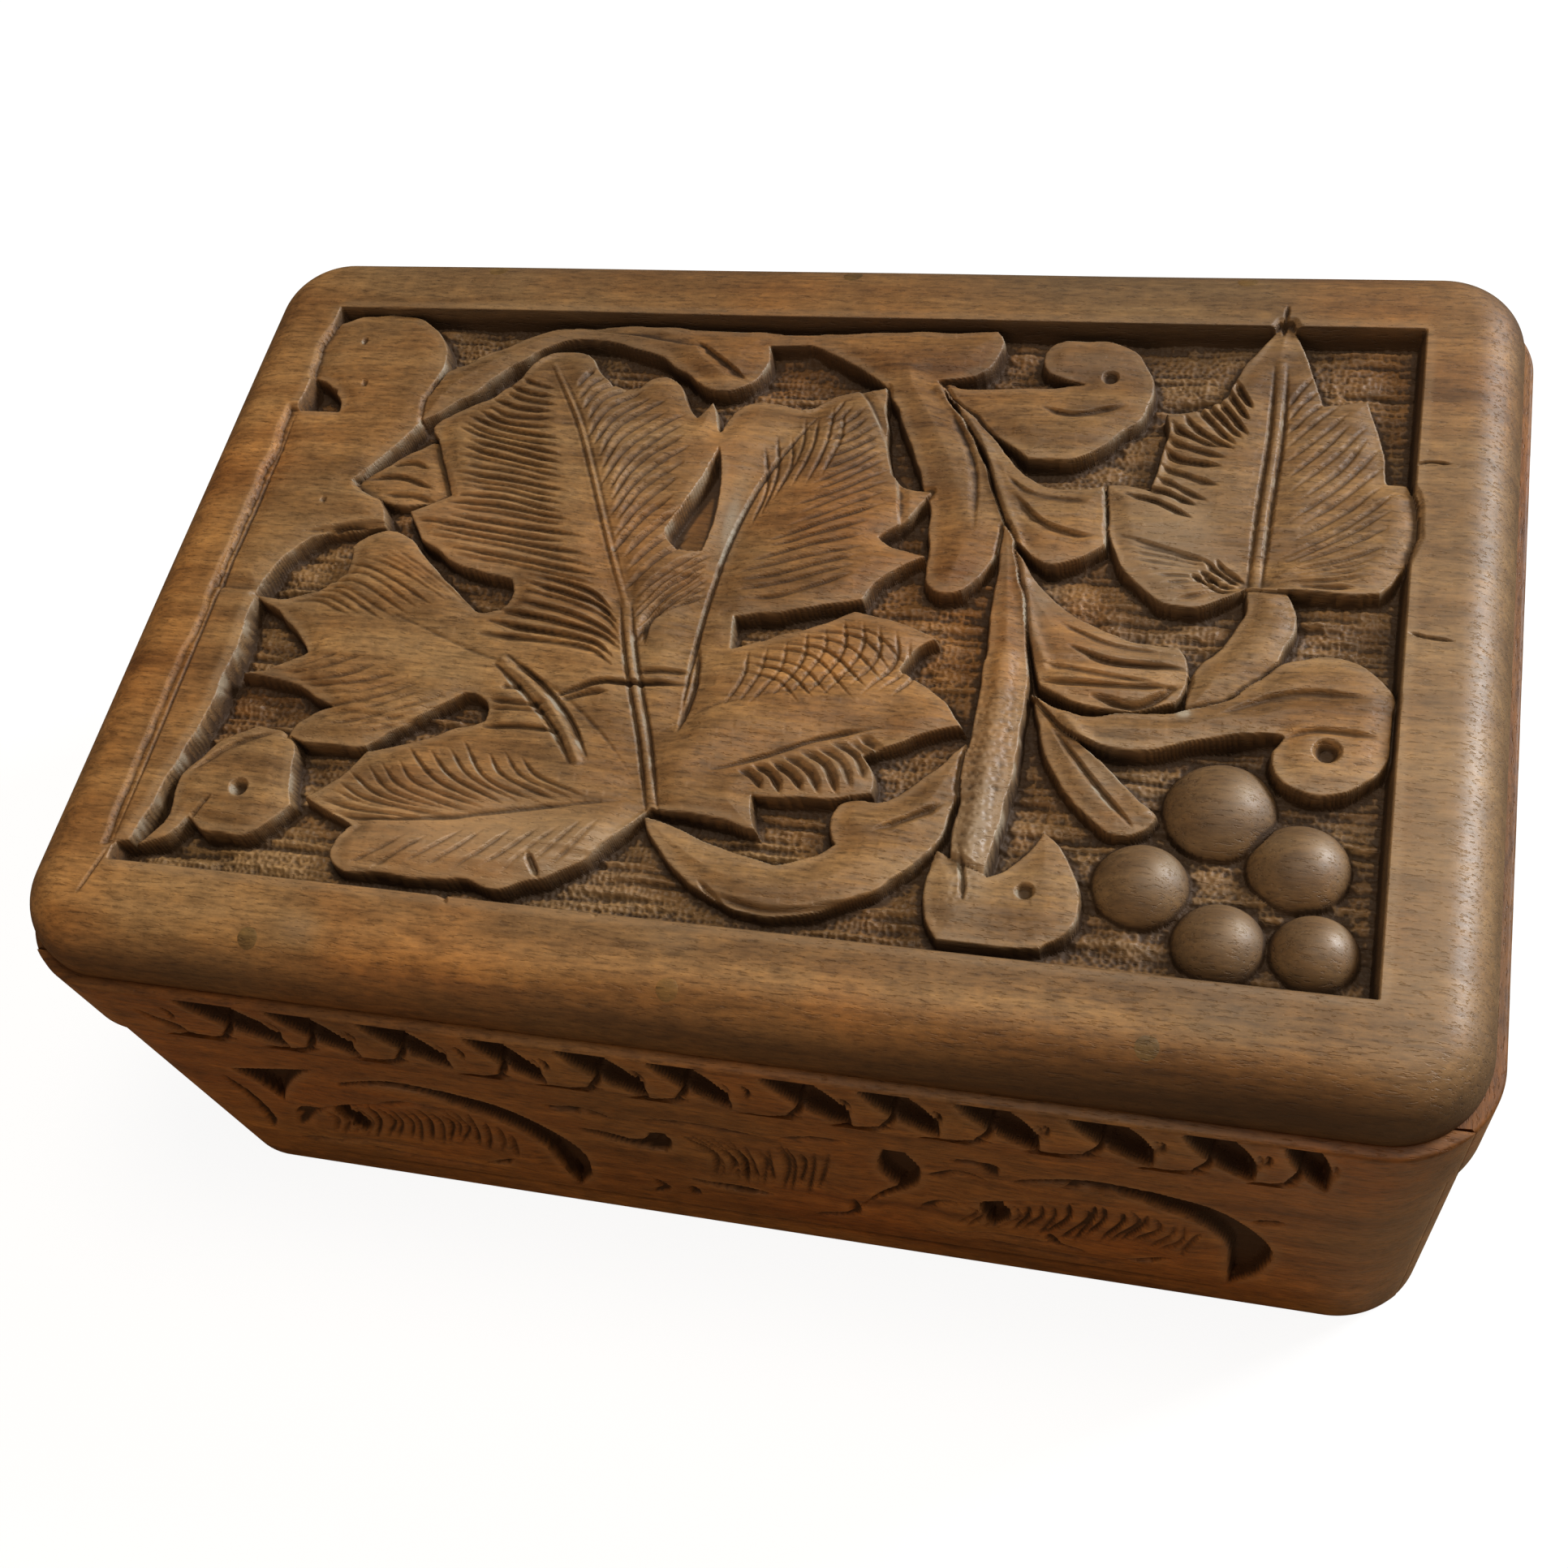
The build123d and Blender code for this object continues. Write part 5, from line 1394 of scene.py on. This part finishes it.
for body, turned_over in (("base", 1), ("lid", -1)):
    screws_low, screws_high = node_box(f"{body}_hinge_screws")
    level = screws_high[2] if body == "base" else screws_low[2]
    reach = (screws_low[1] + screws_high[1]) / 2
    parts = []
    for side in (-1, 1):
        for offset in (-screw_offset, screw_offset):
            points, quads, caps = slotted_screw()
            turn = chance.uniform(0, math.pi)
            spin = np.array([[math.cos(turn), -math.sin(turn)], [math.sin(turn), math.cos(turn)]])
            flat = points[:, :2] @ spin.T
            placed = np.column_stack([flat[:, 0] * turned_over, flat[:, 1], points[:, 2] * turned_over])
            parts.append((placed + (side * hinge_middle + offset, reach, level), quads, caps))
    screws = make_mesh(f"{body}_screws", *joined(parts))
    dress(screws, body, "brass", brass, f"{body}_hinge_screws")


# Floor, light and camera
# A pale floor that the camera sees as white, a cool window to the right and behind, a softer light from
# above, and little light on the front.
half = 6.0
mesh = bpy.data.meshes.new("floor")
mesh.from_pydata([(-half, -half, 0), (half, -half, 0), (half, half, 0), (-half, half, 0)], [], [(0, 1, 2, 3)])
floor = placed_object("floor", mesh)
floor.location.z = -0.0002
floor_material = bpy.data.materials.new("pale_floor")
floor_material.use_nodes = True
tree = floor_material.node_tree
tree.nodes.clear()
seen = add(tree, "ShaderNodeLightPath").outputs["Is Camera Ray"]
lit = add(tree, "ShaderNodeBsdfDiffuse", {"Color": (0.34, 0.26, 0.17, 1)}).outputs[0]
soft = add(tree, "ShaderNodeBsdfDiffuse", {"Color": (0.17, 0.17, 0.17, 1)}).outputs[0]
place = add(tree, "ShaderNodeTexCoord").outputs["Object"]
reach = add(tree, "ShaderNodeVectorMath", {0: place}, operation="LENGTH").outputs["Value"]
glow = add(tree, "ShaderNodeMapRange", {"Value": reach, "From Min": 0.2, "From Max": 0.9, "To Min": 0.91,
                                        "To Max": 1.0}).outputs[0]
bright = add(tree, "ShaderNodeEmission", {"Color": (1, 1, 1, 1), "Strength": glow}).outputs[0]
white = add(tree, "ShaderNodeAddShader", {0: soft, 1: bright}).outputs[0]
shown = add(tree, "ShaderNodeMixShader", {0: seen, 1: lit, 2: white}).outputs[0]
add(tree, "ShaderNodeOutputMaterial", {"Surface": shown})
floor.data.materials.append(floor_material)

world = bpy.data.worlds.new("room")
bpy.context.scene.world = world
world.use_nodes = True
tree = world.node_tree
tree.nodes.clear()
paths = add(tree, "ShaderNodeLightPath")
room = add(tree, "ShaderNodeBackground", {"Color": (1.0, 0.92, 0.80, 1), "Strength": 0.10}).outputs[0]
backdrop = add(tree, "ShaderNodeBackground", {"Color": (1, 1, 1, 1), "Strength": 1.0}).outputs[0]
shown = add(tree, "ShaderNodeMixShader", {0: paths.outputs["Is Camera Ray"], 1: room, 2: backdrop}).outputs[0]
add(tree, "ShaderNodeOutputWorld", {"Surface": shown})


def area_light(name, place, target, size, power, colour):
    """Rectangular soft light at a place, turned to a target."""
    data = bpy.data.lights.new(name, "AREA")
    data.shape = "RECTANGLE"
    data.size, data.size_y = size
    data.energy, data.color = power, colour
    lamp = placed_object(name, data)
    lamp.location = place
    lamp.rotation_mode = "QUATERNION"
    lamp.rotation_quaternion = (Vector(target) - Vector(place)).to_track_quat("-Z", "Y")


area_light("window", (0.85, 0.62, 0.60), (0.02, 0, 0.07), (0.36, 0.36), 16, (0.92, 0.96, 1.0))
area_light("overhead", (0.12, 0.05, 0.70), (0.02, -0.04, 0.07), (0.30, 0.30), 2.4, (1.0, 0.91, 0.76))
area_light("front_fill", (-0.3, -1.1, 0.55), (0, 0, 0.05), (0.8, 0.6), 3.0, (1.0, 0.66, 0.38))

# The camera stands in front, to the right and high above, as the photograph's did. Its place and turn
# come from the box's corners in the photograph.
camera_place = (0.06884, -0.14859, 0.27640)
camera_right = (0.96159, 0.20954, -0.17729)
camera_up = (-0.10747, 0.88176, 0.45930)
camera_back = (0.25257, -0.42261, 0.87041)
data = bpy.data.cameras.new("camera")
data.sensor_width = 36.0
data.lens = 40.8
data.shift_x, data.shift_y = 0.0086, 0.0952
data.clip_start, data.clip_end = 0.01, 20.0
camera = placed_object("camera", data)
axes = [(*axis, 0) for axis in (camera_right, camera_up, camera_back)]
camera.matrix_world = Matrix([*axes, (*camera_place, 1)]).transposed()
bpy.context.scene.camera = camera
bpy.context.scene.view_settings.view_transform = "Standard"
